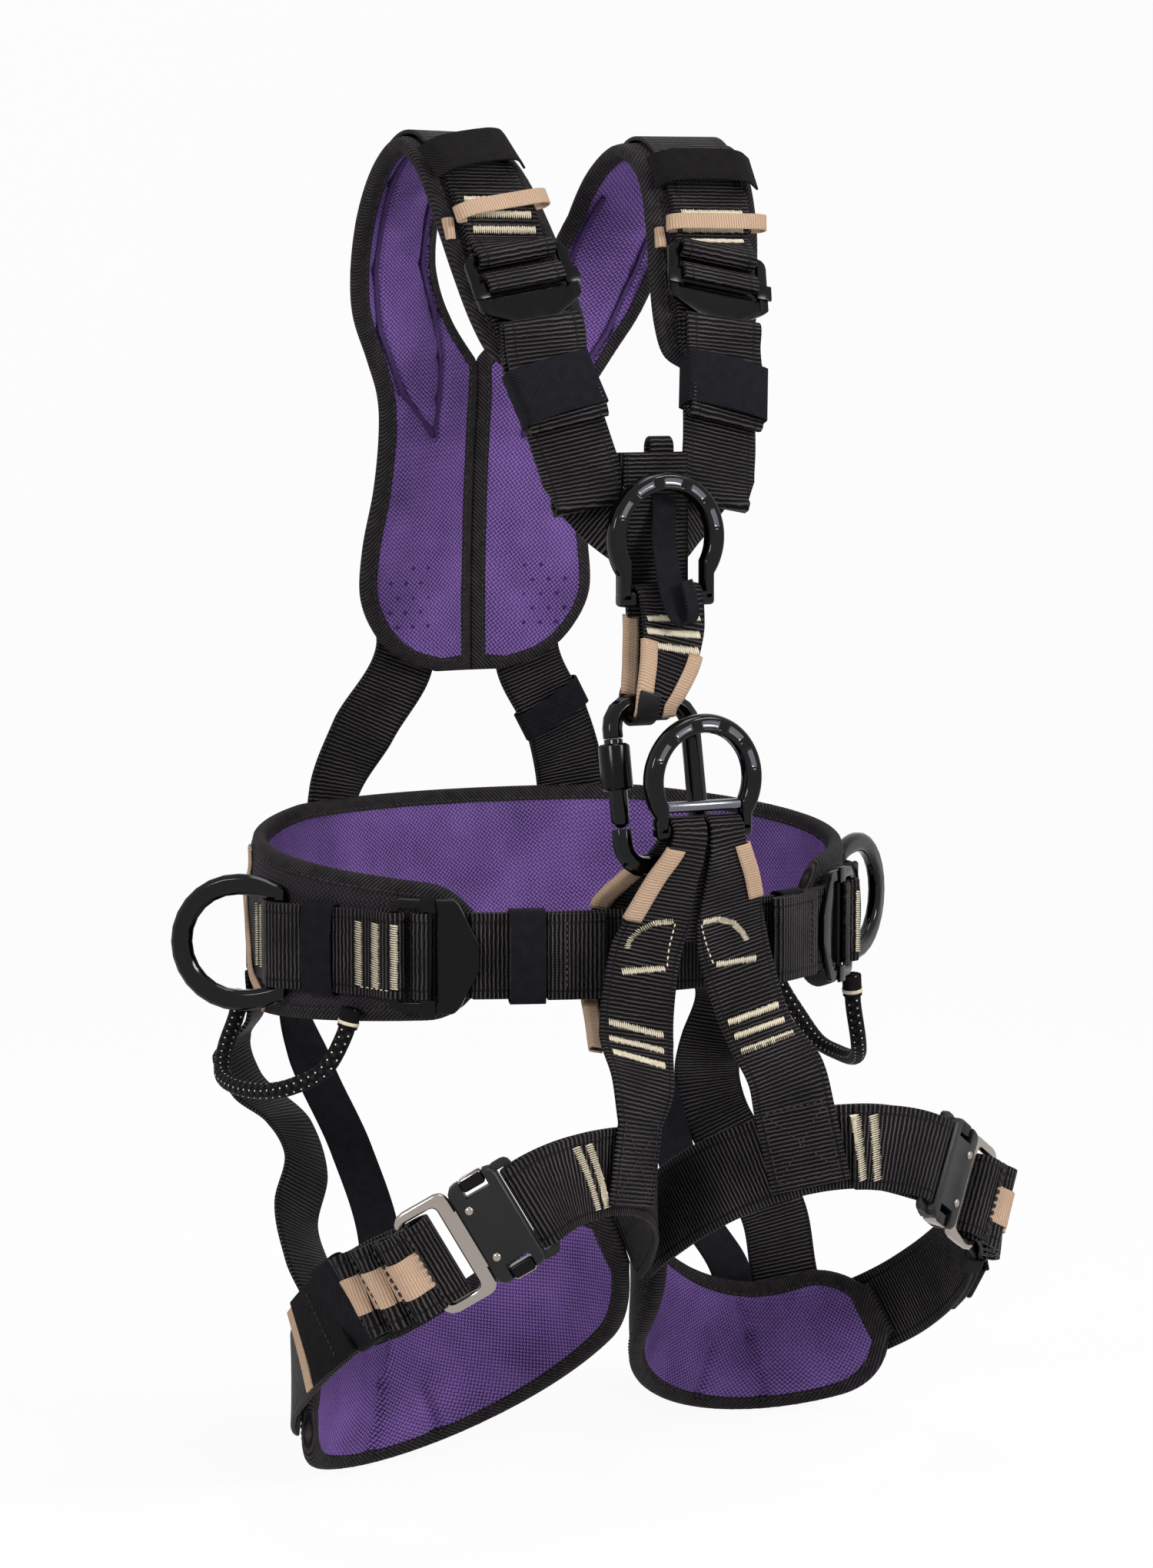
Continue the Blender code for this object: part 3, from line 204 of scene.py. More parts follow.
line = add(tree, "Math", {0: row}, operation="FLOOR")
beat = add(tree, "Math", {0: spot.outputs["X"], 1: 1 / FLECK_PITCH}, operation="MULTIPLY")
shift = add(tree, "Math", {0: line, 1: 0.5, 2: beat}, operation="MULTIPLY_ADD")
along = add(tree, "Math", {0: shift}, operation="FRACT")
round_it = add(tree, "Math", {0: row}, operation="FRACT")
near = add(tree, "Math", {0: along, 1: 0.5, 2: FLECK_HALF_LONG}, operation="COMPARE")
shown = add(tree, "Math", {0: round_it, 1: 0.5, 2: FLECK_HALF_WIDE}, operation="COMPARE")
fleck = add(tree, "Math", {0: near, 1: shown}, operation="MULTIPLY")
# The black strands are painted lighter on their crowns as a painted highlight and darker between them as
# painted shade.
braid_with_sheen = add(tree, "Mix", {0: braid, 6: tint("#040404"), 7: tint("#2a2728")}, data_type="RGBA")
sheath = add(tree, "Mix", {0: fleck, 6: braid_with_sheen.outputs[2], 7: tint("#e6e4e0")}, data_type="RGBA")
surface(tree, sheath.outputs[2], braid, 0.0005, 0.7, **{"Specular IOR Level": 0.07})


def place_piece(name, bm, materials, body="harness"):
    """Make a mesh piece from a bmesh, with smooth faces, riding on a body."""
    mesh = bpy.data.meshes.new(name)
    bm.to_mesh(mesh)
    bm.free()
    for material in materials:
        mesh.materials.append(material)
    mesh.shade_smooth()
    made = bpy.data.objects.new(name, mesh)
    bpy.context.scene.collection.objects.link(made)
    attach(made, body)
    return made


def bent_grid(rows, columns, bend):
    """A grid bent to shape: bend gives the place and weave map of a row, at -0.5 to 0.5 across it."""
    bm = bmesh.new()
    layer = bm.loops.layers.uv.new("weave")
    bmesh.ops.create_grid(bm, x_segments=rows, y_segments=columns, size=0.5)
    spots = {}
    for v in bm.verts:
        v.co, spots[v] = bend(round((v.co.x + 0.5) * rows), v.co.y)
    for face in bm.faces:
        for loop in face.loops:
            loop[layer].uv = spots[loop.vert]
    return bm


def distances(points):
    """How far along a line each of its points lies."""
    gone = [0.0]
    for a, b in zip(points, points[1:]):
        gone.append(gone[-1] + (b - a).length)
    return gone


def tube(name, path, radius, material, around=16):
    """A round cord along close points, with its distance along and turn as the weave map."""
    rows, side = len(path) - 1, ACROSS
    gone, frames = distances(path), []
    for n, point in enumerate(path):
        along = (path[min(n + 1, rows)] - path[max(n - 1, 0)]).normalized()
        side = (side - along * side.dot(along)).normalized()
        frames.append((point, side, along.cross(side)))

    def bend(n, f):
        point, first, second = frames[n]
        a = math.tau * (f + 0.5)
        return point + (first * math.cos(a) + second * math.sin(a)) * radius, (gone[n], f + 0.5)

    bm = bent_grid(rows, around, bend)
    bmesh.ops.remove_doubles(bm, verts=bm.verts, dist=1e-6)
    bmesh.ops.holes_fill(bm, edges=[e for e in bm.edges if e.is_boundary], sides=around)
    bmesh.ops.recalc_face_normals(bm, faces=bm.faces)
    return place_piece(name, bm, [material])


cord_paths = {}
for word, side in SIDES.items():
    knots = []
    for angle, off, z in CORD_ROUTE:
        if side > 0:
            off, z = CORD_SEAT + (off - CORD_SEAT) * LEFT_SPREAD, z * LEFT_DEEPER
        place = BELT.at(angle, off, z)[0]
        knots.append(Vector((place.x * side, place.y, place.z)))
    path = [smooth(knots, (len(knots) - 1) * n / CORD_PIECES) for n in range(CORD_PIECES + 1)]
    cord_paths[word] = path
    loop = tube("gear_cord_" + word, path, CORD_THICK / 2, braided_cord)
    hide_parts("gear_loop_" + word)

# Studio: a matt white sweep under the lowest thigh loop, a soft lamp on the right, a weaker one
# on the left and one above, which leave the black webbing dark and its ribs grey.
FLOOR_Z = cad_box[0].z - 0.001
SWEEP_HALF, SWEEP_FORWARD, WALL_HEIGHT, SWEEP_BEND = 4.0, 1.2, 4.0, 1.0
PAPER_GLOW, ROOM_LIGHT = 0.93, 0.28


def seen_rays(tree):
    """One for what is seen, straight or in a mirror or glass, and nought for light on the object."""
    ray = add(tree, "LightPath")
    seen = ray.outputs["Is Camera Ray"]
    for kind in ("Is Glossy Ray", "Is Transmission Ray"):
        seen = add(tree, "Math", {0: seen, 1: ray.outputs[kind]}, operation="MAXIMUM").outputs[0]
    return seen


sweep_white, tree = new_finish("matt_white_sweep")
part = add(tree, "Math", {0: seen_rays(tree), 1: PAPER_GLOW}, operation="MULTIPLY")
paper = add(tree, "BsdfDiffuse", {"Color": tint("#fafafa")})
glow = add(tree, "Emission", {"Color": tint("#ffffff"), "Strength": 1.0})
both = add(tree, "MixShader", {0: part, 1: paper, 2: glow})
back = add(tree, "NewGeometry").outputs["Backfacing"]
one_sided = add(tree, "MixShader", {0: back, 1: both, 2: add(tree, "BsdfTransparent")})
add(tree, "OutputMaterial", {"Surface": one_sided})
bm = bmesh.new()
bmesh.ops.create_grid(bm, x_segments=1, y_segments=1, size=SWEEP_HALF)
bmesh.ops.translate(bm, vec=(0, -SWEEP_FORWARD, FLOOR_Z), verts=bm.verts)
far = [e for e in bm.edges if all(v.co.y > 0 for v in e.verts)]
wall = bmesh.ops.extrude_edge_only(bm, edges=far)["geom"]
raised = [v for v in wall if isinstance(v, bmesh.types.BMVert)]
bmesh.ops.translate(bm, vec=(0, 0, WALL_HEIGHT), verts=raised)
fold = [e for e in bm.edges if len(e.link_faces) == 2]
bmesh.ops.bevel(bm, geom=fold, offset=SWEEP_BEND, segments=12, profile=0.5, affect="EDGES", material=-1)
for face in bm.faces:
    face.normal_update()
    if face.normal.dot(Vector((0, -1, 1))) < 0:
        face.normal_flip()
mesh = bpy.data.meshes.new("sweep")
bm.to_mesh(mesh)
bm.free()
mesh.materials.append(sweep_white)
mesh.shade_smooth()
sweep = bpy.data.objects.new("sweep", mesh)
bpy.context.scene.collection.objects.link(sweep)

sky = bpy.data.worlds.new("white_room")
sky.use_nodes = True
tree = sky.node_tree
tree.nodes.clear()
level = add(tree, "MapRange", {0: seen_rays(tree), 1: 0.0, 2: 1.0, 3: ROOM_LIGHT, 4: 1.0})
glow = add(tree, "Background", {"Color": tint("#ffffff"), "Strength": level})
add(tree, "OutputWorld", {"Surface": glow})
bpy.context.scene.world = sky

for name, place, size, watts in (
    ("key_lamp", (1.3, -2.2, 1.3), 0.7, 46.0),
    ("fill_lamp", (-2.0, -1.3, 0.9), 0.5, 26.0),
    ("top_lamp", (0.2, -0.2, 2.2), 0.9, 18.0),
):
    lamp = bpy.data.lights.new(name, "AREA")
    lamp.energy = watts
    lamp.size = size
    holder = bpy.data.objects.new(name, lamp)
    holder.location = place
    holder.rotation_euler = (Vector(place) - AIM).to_track_quat("Z", "Y").to_euler()
    bpy.context.scene.collection.objects.link(holder)

# Waist pad: foam between a purple woven lining and a black outer cloth, its raw edge wrapped in
# twill tape that is folded round the rim and stitched through.
WEAVE_PITCH, WEAVE_SLANT = 0.0019, math.radians(38)
TAPE_WIDTH, TAPE_ROLL, TAPE_RISE = 0.0082, 0.0040, 0.0006
PAD_SWELL, SWELL_WIDTH, PAD_UNEVEN = 0.0013, 0.016, 0.0007
STITCH_IN, SEAM_HEIGHT, PIPING_RADIUS = 0.0016, 0.0042, 0.0016
SEAM_DEPTH, CREASE_DEPTH, CREASE_WIDTH = 0.0020, 0.0034, 0.0032
SEAM_STITCH, PAD_CELL, END_LEAST = (0.0056, 0.0036, 0.0016), 0.004, 0.42
MATT = {"Specular IOR Level": 0.07}


def woven(name, low, high, pitch, depth, roughness, **more):
    """Plain woven cloth: warp and weft threads that pass over and under each other."""
    made, tree = new_finish(name)
    uv = add(tree, "UVMap", uv_map="weave")
    turned = {"Vector": uv, "Rotation": (0, 0, WEAVE_SLANT), "Scale": (1 / pitch,) * 3}
    count = add(tree, "Mapping", turned)
    spot = add(tree, "SeparateXYZ", {"Vector": count})
    over = add(tree, "TexChecker", {"Vector": count, "Scale": 1.0})
    warp = add(tree, "Math", {0: spot.outputs["X"], 1: 0.5}, operation="PINGPONG")
    weft = add(tree, "Math", {0: spot.outputs["Y"], 1: 0.5}, operation="PINGPONG")
    thread = add(tree, "Mix", {0: over.outputs["Fac"], 2: warp, 3: weft})
    height = add(tree, "Math", {0: thread, 1: 2.0}, operation="MULTIPLY")
    cloud = add(tree, "TexNoise", {"Vector": uv, "Scale": 28.0, "Detail": 3.0})
    shade = add(tree, "MapRange", {0: cloud, 1: 0.3, 2: 0.7, 3: -0.12, 4: 0.12})
    # Thread tops are painted lighter as a painted highlight and the hollows between threads darker as
    # painted shade; the cloud adds random tone on top.
    lit = add(tree, "Math", {0: height, 1: shade}, operation="ADD", use_clamp=True)
    colour = add(tree, "Mix", {0: lit, 6: tint(low), 7: tint(high)}, data_type="RGBA")
    surface(tree, colour.outputs[2], height, depth, roughness, **more)
    return made


# Woven polyester lining, matt with a faint sheen: threads are drawn at 1.9 mm, coarser than life, to show
purple_lining = woven("purple_woven_lining", "#0f0522", "#9672c3", WEAVE_PITCH, 0.0008, 0.75, **MATT)
black_outer = woven("black_woven_outer", "#0d0b0e", "#3f393f", 0.0019, 0.0006, 0.7, **MATT)


def twill(name, low, high, pitch, depth, roughness, **more):
    """Twill tape or knitted elastic: fine slanting ribs."""
    made, tree = new_finish(name)
    uv = add(tree, "UVMap", uv_map="weave")
    spot = add(tree, "SeparateXYZ", {"Vector": uv})
    slant = add(tree, "Math", {0: spot.outputs["X"], 1: spot.outputs["Y"]}, operation="ADD")
    rib = add(tree, "Math", {0: slant, 1: math.tau / pitch}, operation="MULTIPLY")
    wave = add(tree, "Math", {0: rib}, operation="SINE")
    cloud = add(tree, "TexNoise", {"Vector": uv, "Scale": 160.0, "Detail": 3.0})
    height = add(tree, "MapRange", {0: wave, 1: -1.0, 2: 1.0, 3: 0.0, 4: 0.8})
    # Rib crests are painted lighter as a painted highlight and the troughs darker as painted shade, varied
    # by a random cloud.
    lit = add(tree, "Math", {0: height, 1: cloud}, operation="MULTIPLY")
    colour = add(tree, "Mix", {0: lit, 6: tint(low), 7: tint(high)}, data_type="RGBA")
    surface(tree, colour.outputs[2], height, depth, roughness, **more)
    return made


# Cotton-polyester twill tape, nearly black, with slanting ribs painted lighter on their crests as a painted
# highlight
twill_tape = twill("black_twill_tape", "#100e10", "#524d50", 0.0024, 0.0006, 0.7, **MATT)


def rim_height(depth):
    """Half thickness of a pad at a depth in from its rim: tape rolled round the edge, then the filling."""
    if depth < TAPE_ROLL:
        return TAPE_ROLL * math.sqrt(max(1 - (1 - depth / TAPE_ROLL) ** 2, 0.0))
    if depth < TAPE_WIDTH:
        return TAPE_ROLL + TAPE_RISE * (depth - TAPE_ROLL) / (TAPE_WIDTH - TAPE_ROLL)
    swell = min((depth - TAPE_WIDTH) / SWELL_WIDTH, 1.0)
    return TAPE_ROLL + 0.0001 + PAD_SWELL * math.sin(swell * math.pi / 2)


def depth_in(spots, rim):
    """Distance of each flat point from a pad's outline."""
    depth = np.full(len(spots), 1.0)
    for a, b in zip(rim, np.roll(rim, -1, axis=0)):
        share = np.clip((spots - a) @ (b - a) / max((b - a) @ (b - a), 1e-12), 0, 1)
        depth = np.minimum(depth, np.linalg.norm(spots - a - share[:, None] * (b - a), axis=1))
    return depth


def inset_line(rim, depth):
    """A pad's outline moved in, without the points that would fold over at its corners."""
    ahead = np.roll(rim, -1, axis=0) - rim
    ahead = ahead / np.linalg.norm(ahead, axis=1)[:, None]
    along = ahead + np.roll(ahead, 1, axis=0)
    along = along / np.linalg.norm(along, axis=1)[:, None]
    moved = rim + np.column_stack((-along[:, 1], along[:, 0])) * depth
    return moved[depth_in(moved, rim) > depth - 0.0002]


def thread(name, low, high):
    """Spun polyester sewing thread, unevenly dyed."""
    made, tree = new_finish(name)
    where = add(tree, "TexCoord")
    cloud = add(tree, "TexNoise", {"Vector": where.outputs["Object"], "Scale": 600.0, "Detail": 2.0})
    dyed = add(tree, "Mix", {0: cloud, 6: tint(low), 7: tint(high)}, data_type="RGBA")
    surface(tree, dyed.outputs[2], cloud, 0.0002, 0.6, **MATT)
    return made


# Sewing threads of the pads: black through the tape, dark purple through the lining
black_thread = thread("black_polyester_thread", "#0c0b0c", "#4b4749")
purple_thread = thread("purple_polyester_thread", "#190b29", "#53377c")


def stretch(gone, far):
    """Which stretch of a line, counted from nought, holds a distance along it."""
    return min(max(int(np.searchsorted(gone, far)) - 1, 0), len(gone) - 2)


def running_stitch(bm, line, pitch=0.0044, long=0.0032, wide=0.0010):
    """Lay single stitches along a line of points, each given with the way it faces."""
    gone = distances([point for point, out in line])
    for n in range(int(gone[-1] / pitch)):
        far = pitch * (n + 0.5)
        i = stretch(gone, far)
        (a, out), b = line[i], line[i + 1][0]
        run = (b - a).normalized()
        axes = Matrix((run * long, out.cross(run).normalized() * wide, out * wide)).transposed().to_4x4()
        axes.translation = a.lerp(b, (far - gone[i]) / max(gone[i + 1] - gone[i], 1e-9))
        bmesh.ops.create_icosphere(bm, subdivisions=1, radius=0.5, matrix=axes)


def stitch_piece(name, lines, material, sizes=()):
    """A piece of running stitches along several lines, with one pitch, length and width of stitch."""
    bm = bmesh.new()
    for line in lines:
        running_stitch(bm, line, *sizes)
    return place_piece(name, bm, [material])


def all_of(bm):
    return bm.verts[:] + bm.edges[:] + bm.faces[:]


def pad(name, outline, place, node, seams=(), sewn=False):
    """Sew a pad: the flat pattern is inset for its tape, cut into cells, doubled and laid on the wearer."""
    creases = [a + b for line in seams for a, b in zip(line, line[1:])]
    bm = bmesh.new()
    rim = np.array(outline)
    loops = []
    for depth in (0.0, 0.0006, 0.0018, TAPE_ROLL, TAPE_WIDTH, TAPE_WIDTH + 0.0005):
        line = [bm.verts.new((s, c, 0)) for s, c in (inset_line(rim, depth) if depth else rim)]
        loops.append([bm.edges.new(pair) for pair in zip(line, line[1:] + line[:1])])
    for a, b in zip(loops, loops[1:] + [[]]):
        filled = bmesh.ops.triangle_fill(bm, edges=a + b, use_beauty=True, normal=(0, 0, 1))["geom"]
        for face in filled:
            if isinstance(face, bmesh.types.BMFace):
                face.material_index = 1 if len(b) and b is not loops[-1] else 0
    low, high = rim.min(axis=0), rim.max(axis=0)
    for axis in (0, 1):
        count = int((high[axis] - low[axis]) / PAD_CELL)
        for n in range(1, count):
            cut, facing = Vector((0, 0, 0)), Vector((0, 0, 0))
            cut[axis] = low[axis] + (high[axis] - low[axis]) * n / count
            facing[axis] = 1
            bmesh.ops.bisect_plane(bm, geom=all_of(bm), plane_co=cut, plane_no=facing, dist=1e-6)
    spots = np.array([(v.co.x, v.co.y) for v in bm.verts])
    depth = depth_in(spots, rim)
    flat = {v: (spots[n][0], spots[n][1], depth[n]) for n, v in enumerate(bm.verts)}
    front = bm.faces[:]
    copy = bmesh.ops.duplicate(bm, geom=all_of(bm))
    back = [g for g in copy["geom"] if isinstance(g, bmesh.types.BMFace)]
    for v in list(flat):
        flat[copy["vert_map"][v]] = flat[v]
    inside = {v for face in back for v in face.verts}
    layer = bm.loops.layers.uv.new("weave")
    for faces, cloth in ((front, 2), (back, 0)):
        for face in faces:
            for loop in face.loops:
                loop[layer].uv = flat[loop.vert][:2]
            if face.material_index != 1:
                face.material_index = cloth
    for v, (s, c, deep) in flat.items():
        point, out = place(s, c)
        thick = rim_height(deep)
        if deep > TAPE_WIDTH:
            thick += PAD_UNEVEN * noise.noise(Vector((s * 30, c * 30, 3.0)))
            for s0, c0, s1, c1 in creases:
                along = Vector((s1 - s0, c1 - c0))
                reach = Vector((s - s0, c - c0))
                share = min(max(reach.dot(along) / along.length_squared, 0), 1)
                gap = (reach - along * share).length
                thick -= (SEAM_DEPTH if sewn else CREASE_DEPTH) * math.exp(-((gap / CREASE_WIDTH) ** 2))
        v.co = point + out * (-thick if v in inside else thick)
    bmesh.ops.remove_doubles(bm, verts=[v for v in flat if flat[v][2] < 1e-5], dist=1e-5)
    bmesh.ops.recalc_face_normals(bm, faces=bm.faces)
    made = place_piece(name, bm, [purple_lining, twill_tape, black_outer])
    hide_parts(node)
    deep = TAPE_WIDTH - STITCH_IN
    line = inset_line(rim, deep)
    laid = [place(s, c) for s, c in np.vstack((line, line[:1]))]
    rows = []
    for face in (1, -1):
        rows.append([(point + out * face * rim_height(deep), out * face) for point, out in laid])
    stitch_piece(name + "_tape_thread", rows, black_thread)
    if sewn:
        rows = []
        for row, line in enumerate(seams, 1):
            spots = [Vector(a).lerp(Vector(b), n / 8) for a, b in zip(line, line[1:]) for n in range(8)]
            laid = [place(*spot) for spot in spots]
            rows.append([(point - out * SEAM_HEIGHT, -out) for point, out in laid])
            cord = [point - out * SEAM_HEIGHT * 0.9 for point, out in laid]
            tube(f"{name}_piping_{row}", cord, PIPING_RADIUS, purple_lining, 8)
        stitch_piece(name + "_seam_thread", rows, purple_thread, SEAM_STITCH)


def measure(place, start, stop):
    """Distances along a way at even steps of its own count, for reading one from the other."""
    keys = np.linspace(start, stop, 401)
    points = np.array([tuple(place(k)) for k in keys])
    steps = np.linalg.norm(np.diff(points, axis=0), axis=1)
    return keys, np.concatenate([[0.0], np.cumsum(steps)])


def end_round(distance, length):
    """Share of the full height left at a distance from a pad's round end."""
    if distance >= length:
        return 1.0
    return max(math.sqrt(1 - (1 - distance / length) ** 2), END_LEAST)


BELT_PAD_END, BELT_TAPER, BELT_ROUND = 146.0, 40.0, 12.0
BELT_TOP, BELT_BOTTOM, BELT_FRONT = 0.058, 0.050, 0.034
belt_keys, belt_gone = measure(lambda k: belt_place(k)[0], -BELT_PAD_END, BELT_PAD_END)
top_edge, low_edge = [], []
for angle in np.linspace(-BELT_PAD_END, BELT_PAD_END, 190):
    share = max(abs(angle) - BELT_TAPER, 0.0) / (BELT_PAD_END - BELT_TAPER)
    top = BELT_TOP + (BELT_FRONT - BELT_TOP) * share
    low = -BELT_BOTTOM + (BELT_BOTTOM - BELT_FRONT) * share
    share = end_round(BELT_PAD_END - abs(angle), BELT_ROUND)
    middle, half = (top + low) / 2, (top - low) / 2 * share
    gone = float(np.interp(angle, belt_keys, belt_gone))
    top_edge.append((gone, middle + half))
    low_edge.append((gone, middle - half))


def on_belt(s, c):
    point, along, across, out = BELT.axes(float(np.interp(s, belt_gone, belt_keys)))
    return point + UP * c, out


pad("waist_pad_sewn", low_edge + top_edge[::-1], on_belt, "waist_pad")

# Back and shoulder pad: two halves that meet at the spine and part over the shoulders, sewn like the
# waist pad, with a V of stitching where the shoulder wing joins the back.
SHOULDER_EDGES = [
    (0.0025, 0.022, 0.118, 0.117, 0.129),
    (0.0025, 0.044, 0.118, 0.115, 0.136),
    (0.0025, 0.061, 0.118, 0.112, 0.150),
    (0.0025, 0.072, 0.118, 0.109, 0.172),
    (0.0025, 0.071, 0.117, 0.108, 0.200),
    (0.0025, 0.065, 0.115, 0.106, 0.232),
    (0.0025, 0.063, 0.112, 0.103, 0.262),
    (0.0025, 0.066, 0.109, 0.098, 0.284),
    (0.018, 0.076, 0.105, 0.090, 0.305),
    (0.034, 0.089, 0.099, 0.080, 0.330),
    (0.041, 0.096, 0.090, 0.066, 0.357),
    (0.043, 0.100, 0.074, 0.048, 0.384),
    (0.043, 0.102, 0.052, 0.026, 0.406),
    (0.042, 0.102, 0.024, 0.004, 0.418),
    (0.040, 0.101, 0.000, -0.012, 0.414),
    (0.037, 0.099, -0.020, -0.026, 0.400),
    (0.032, 0.096, -0.036, -0.038, 0.376),
    (0.027, 0.091, -0.049, -0.047, 0.350),
    (0.024, 0.085, -0.060, -0.056, 0.325),
    (0.027, 0.077, -0.066, -0.062, 0.308),
    (0.040, 0.063, -0.069, -0.066, 0.300),
]
SHOULDER_LAST = len(SHOULDER_EDGES) - 1
inner_line = [Vector((xi, yi, z)) for xi, xo, yi, yo, z in SHOULDER_EDGES]
outer_line = [Vector((xo, yo, z)) for xi, xo, yi, yo, z in SHOULDER_EDGES]


def shoulder_place(k):
    a, b = smooth(inner_line, k), smooth(outer_line, k)
    return (a + b) / 2, b - a


def shoulder_profile(k):
    point = shoulder_place(k)[0]
    return Vector((0, point.y, point.z))


SHOULDER = Route(shoulder_place, lambda p: Vector((0.05, 0.015, min(p.z, 0.34))))
shoulder_keys, shoulder_gone = measure(shoulder_profile, 0.0, SHOULDER_LAST)
SPINE_FILL, SPINE_OVERLAP = 0.0027, 0.0002
NECK_FILL = ((7.0, 8.0, 9.0, 10.0, 11.0), (0.0, 0.0150, 0.0115, 0.0045, 0.0))
inner_edge, outer_edge = [], []
for k in np.linspace(0.0, SHOULDER_LAST, 150):
    gone = float(np.interp(k, shoulder_keys, shoulder_gone))
    fill = SPINE_FILL + float(np.interp(k, *NECK_FILL))
    inner_edge.append((gone, max(smooth(inner_line, k).x - fill, -SPINE_OVERLAP)))
    outer_edge.append((gone, smooth(outer_line, k).x))


def on_shoulder(s, c):
    k = float(np.interp(s, shoulder_gone, shoulder_keys))
    a, b = smooth(inner_line, k), smooth(outer_line, k)
    out = SHOULDER.axes(k)[3]
    return a + (b - a) * (c - a.x) / (b.x - a.x), out


def flip(p):
    return Vector((-p.x, p.y, p.z))


def mirrored(place):
    """The same way of laying a flat pattern, on the wearer's right."""
    def right(s, c):
        point, out = place(s, c)
        return flip(point), flip(out)
    return right


WING_OUTER = [
    (0.134, 0.029), (0.160, 0.053), (0.194, 0.072),
    (0.232, 0.082), (0.290, 0.088), (0.330, 0.089),
]
WING_INNER = [
    (0.134, 0.029), (0.156, 0.028), (0.180, 0.028),
    (0.207, 0.034), (0.235, 0.047), (0.290, 0.055),
]
WING_SEAM = (WING_OUTER, WING_INNER)
pattern = inner_edge + outer_edge[::-1]
pad("shoulder_pad_left_sewn", pattern, on_shoulder, "shoulder_pad_left", WING_SEAM, True)
pad("shoulder_pad_right_sewn", pattern, mirrored(on_shoulder), "shoulder_pad_right", WING_SEAM, True)
# Small dark purple dots on the lining of each shoulder pad: painted shade of little dimples in the cloth, as
# flattened discs in the purple thread's colour.
DIMPLE_SHADE_FIRST, DIMPLE_SHADE_STEP, DIMPLE_SHADE_COUNT, DIMPLE_SHADE_COLUMNS = (0.027, 0.031), (0.0082, 0.0100), 14, 3
DIMPLE_SHADE_RADIUS, DIMPLE_SHADE_FLAT, DIMPLE_SHADE_HEIGHT = 0.0012, 0.3, 0.0054
for word, place in (("left", on_shoulder), ("right", mirrored(on_shoulder))):
    bm = bmesh.new()
    for n in range(DIMPLE_SHADE_COUNT):
        row, column = divmod(n, DIMPLE_SHADE_COLUMNS)
        s = DIMPLE_SHADE_FIRST[0] + DIMPLE_SHADE_STEP[0] * row
        point, out = place(s, DIMPLE_SHADE_FIRST[1] + DIMPLE_SHADE_STEP[1] * (column + 0.5 * (row % 2)))
        stand = out.to_track_quat("Z", "Y").to_matrix().to_4x4() @ Matrix.Diagonal((1, 1, DIMPLE_SHADE_FLAT, 1))
        stand.translation = point - out * DIMPLE_SHADE_HEIGHT
        bmesh.ops.create_icosphere(bm, subdivisions=1, radius=DIMPLE_SHADE_RADIUS, matrix=stand)
    place_piece(f"shoulder_pad_{word}_dimple_shade", bm, [purple_thread])

# Thigh pads: the rear half of each leg loop, of the same foam and cloth and sewn like the waist pad.
# The lining creases where the pad bends round the leg.
LEG_RADIUS, LEG_SPACING, LEG_FORWARD = 0.087, 0.099, 0.085
LEG_MIDDLE, LEG_TILT, LEG_HIGH = 0.177, 0.075, -15.0
THIGH_FROM, THIGH_TO, THIGH_HEIGHT, THIGH_ROUND = 117.0, 268.0, 0.074, 24.0


def leg_place(angle):
    a, b = math.radians(angle), math.radians(angle - LEG_HIGH)
    radial = Vector((math.sin(a), -math.cos(a), 0.0))
    point = Vector((LEG_SPACING, -LEG_FORWARD, LEG_TILT * math.cos(b) - LEG_MIDDLE)) + radial * LEG_RADIUS
    ahead = Vector((math.cos(a), math.sin(a), -LEG_TILT / LEG_RADIUS * math.sin(b)))
    return point, radial.cross(ahead)


LEG = Route(leg_place, lambda p: Vector((LEG_SPACING, -LEG_FORWARD, p.z)))
leg_keys, leg_gone = measure(lambda k: leg_place(k)[0], THIGH_FROM, THIGH_TO)
upper_edge, lower_edge = [], []
for angle in np.linspace(THIGH_FROM, THIGH_TO, 90):
    half = THIGH_HEIGHT / 2 * end_round(min(angle - THIGH_FROM, THIGH_TO - angle), THIGH_ROUND)
    gone = float(np.interp(angle, leg_keys, leg_gone))
    upper_edge.append((gone, half))
    lower_edge.append((gone, -half))


def on_thigh(s, c):
    point, along, across, out = LEG.axes(float(np.interp(s, leg_gone, leg_keys)))
    return point + across * c, out


THIGH_CREASES = [[(0.109, -0.002), (0.110, -0.028)], [(0.096, 0.026), (0.084, 0.006), (0.076, -0.028)]]
pattern = lower_edge + upper_edge[::-1]
pad("thigh_pad_left_sewn", pattern, on_thigh, "thigh_pad_left", THIGH_CREASES)
pad("thigh_pad_right_sewn", pattern, mirrored(on_thigh), "thigh_pad_right", THIGH_CREASES)

# Waist webbing: 45 mm ribbed polyester in two pieces. The back piece runs over the side rings' bars
# and turns round the adjusters' end bars; the front piece is hooked round their sliding bars.
WEB_WIDTH, WEB_THICK = 0.045, 0.0024
ON_PAD = PAD_THICK / 2 + LAYER_GAP + WEB_THICK / 2
SECOND_LAYER = WEB_THICK + LAYER_GAP
ON_CURVE = ON_PAD + LAYER_GAP
EYE_RADIUS, BEND_STEPS = 0.0046, 8
ADJUSTER_LENGTH, ADJUSTER_WIDTH = 0.042, 0.060
END_BAR, SLIDER_REST, HOOK_CENTRE = -0.019, -0.001, -0.005
WAIST_ADJUSTER, WAIST_EYE, WAIST_TAIL = 135.5, 14.0, 9
SIDE_RING_ANGLE, BULGE_SPAN, BULGE_RISE = 99.0, 11.0, 0.009
RIB_PITCH, RIB_SWAY, WARP_PITCH = 0.0022, 0.0005, 0.0007
SELVEDGE_LINE, SELVEDGE_HALF = 0.0178, 0.0007


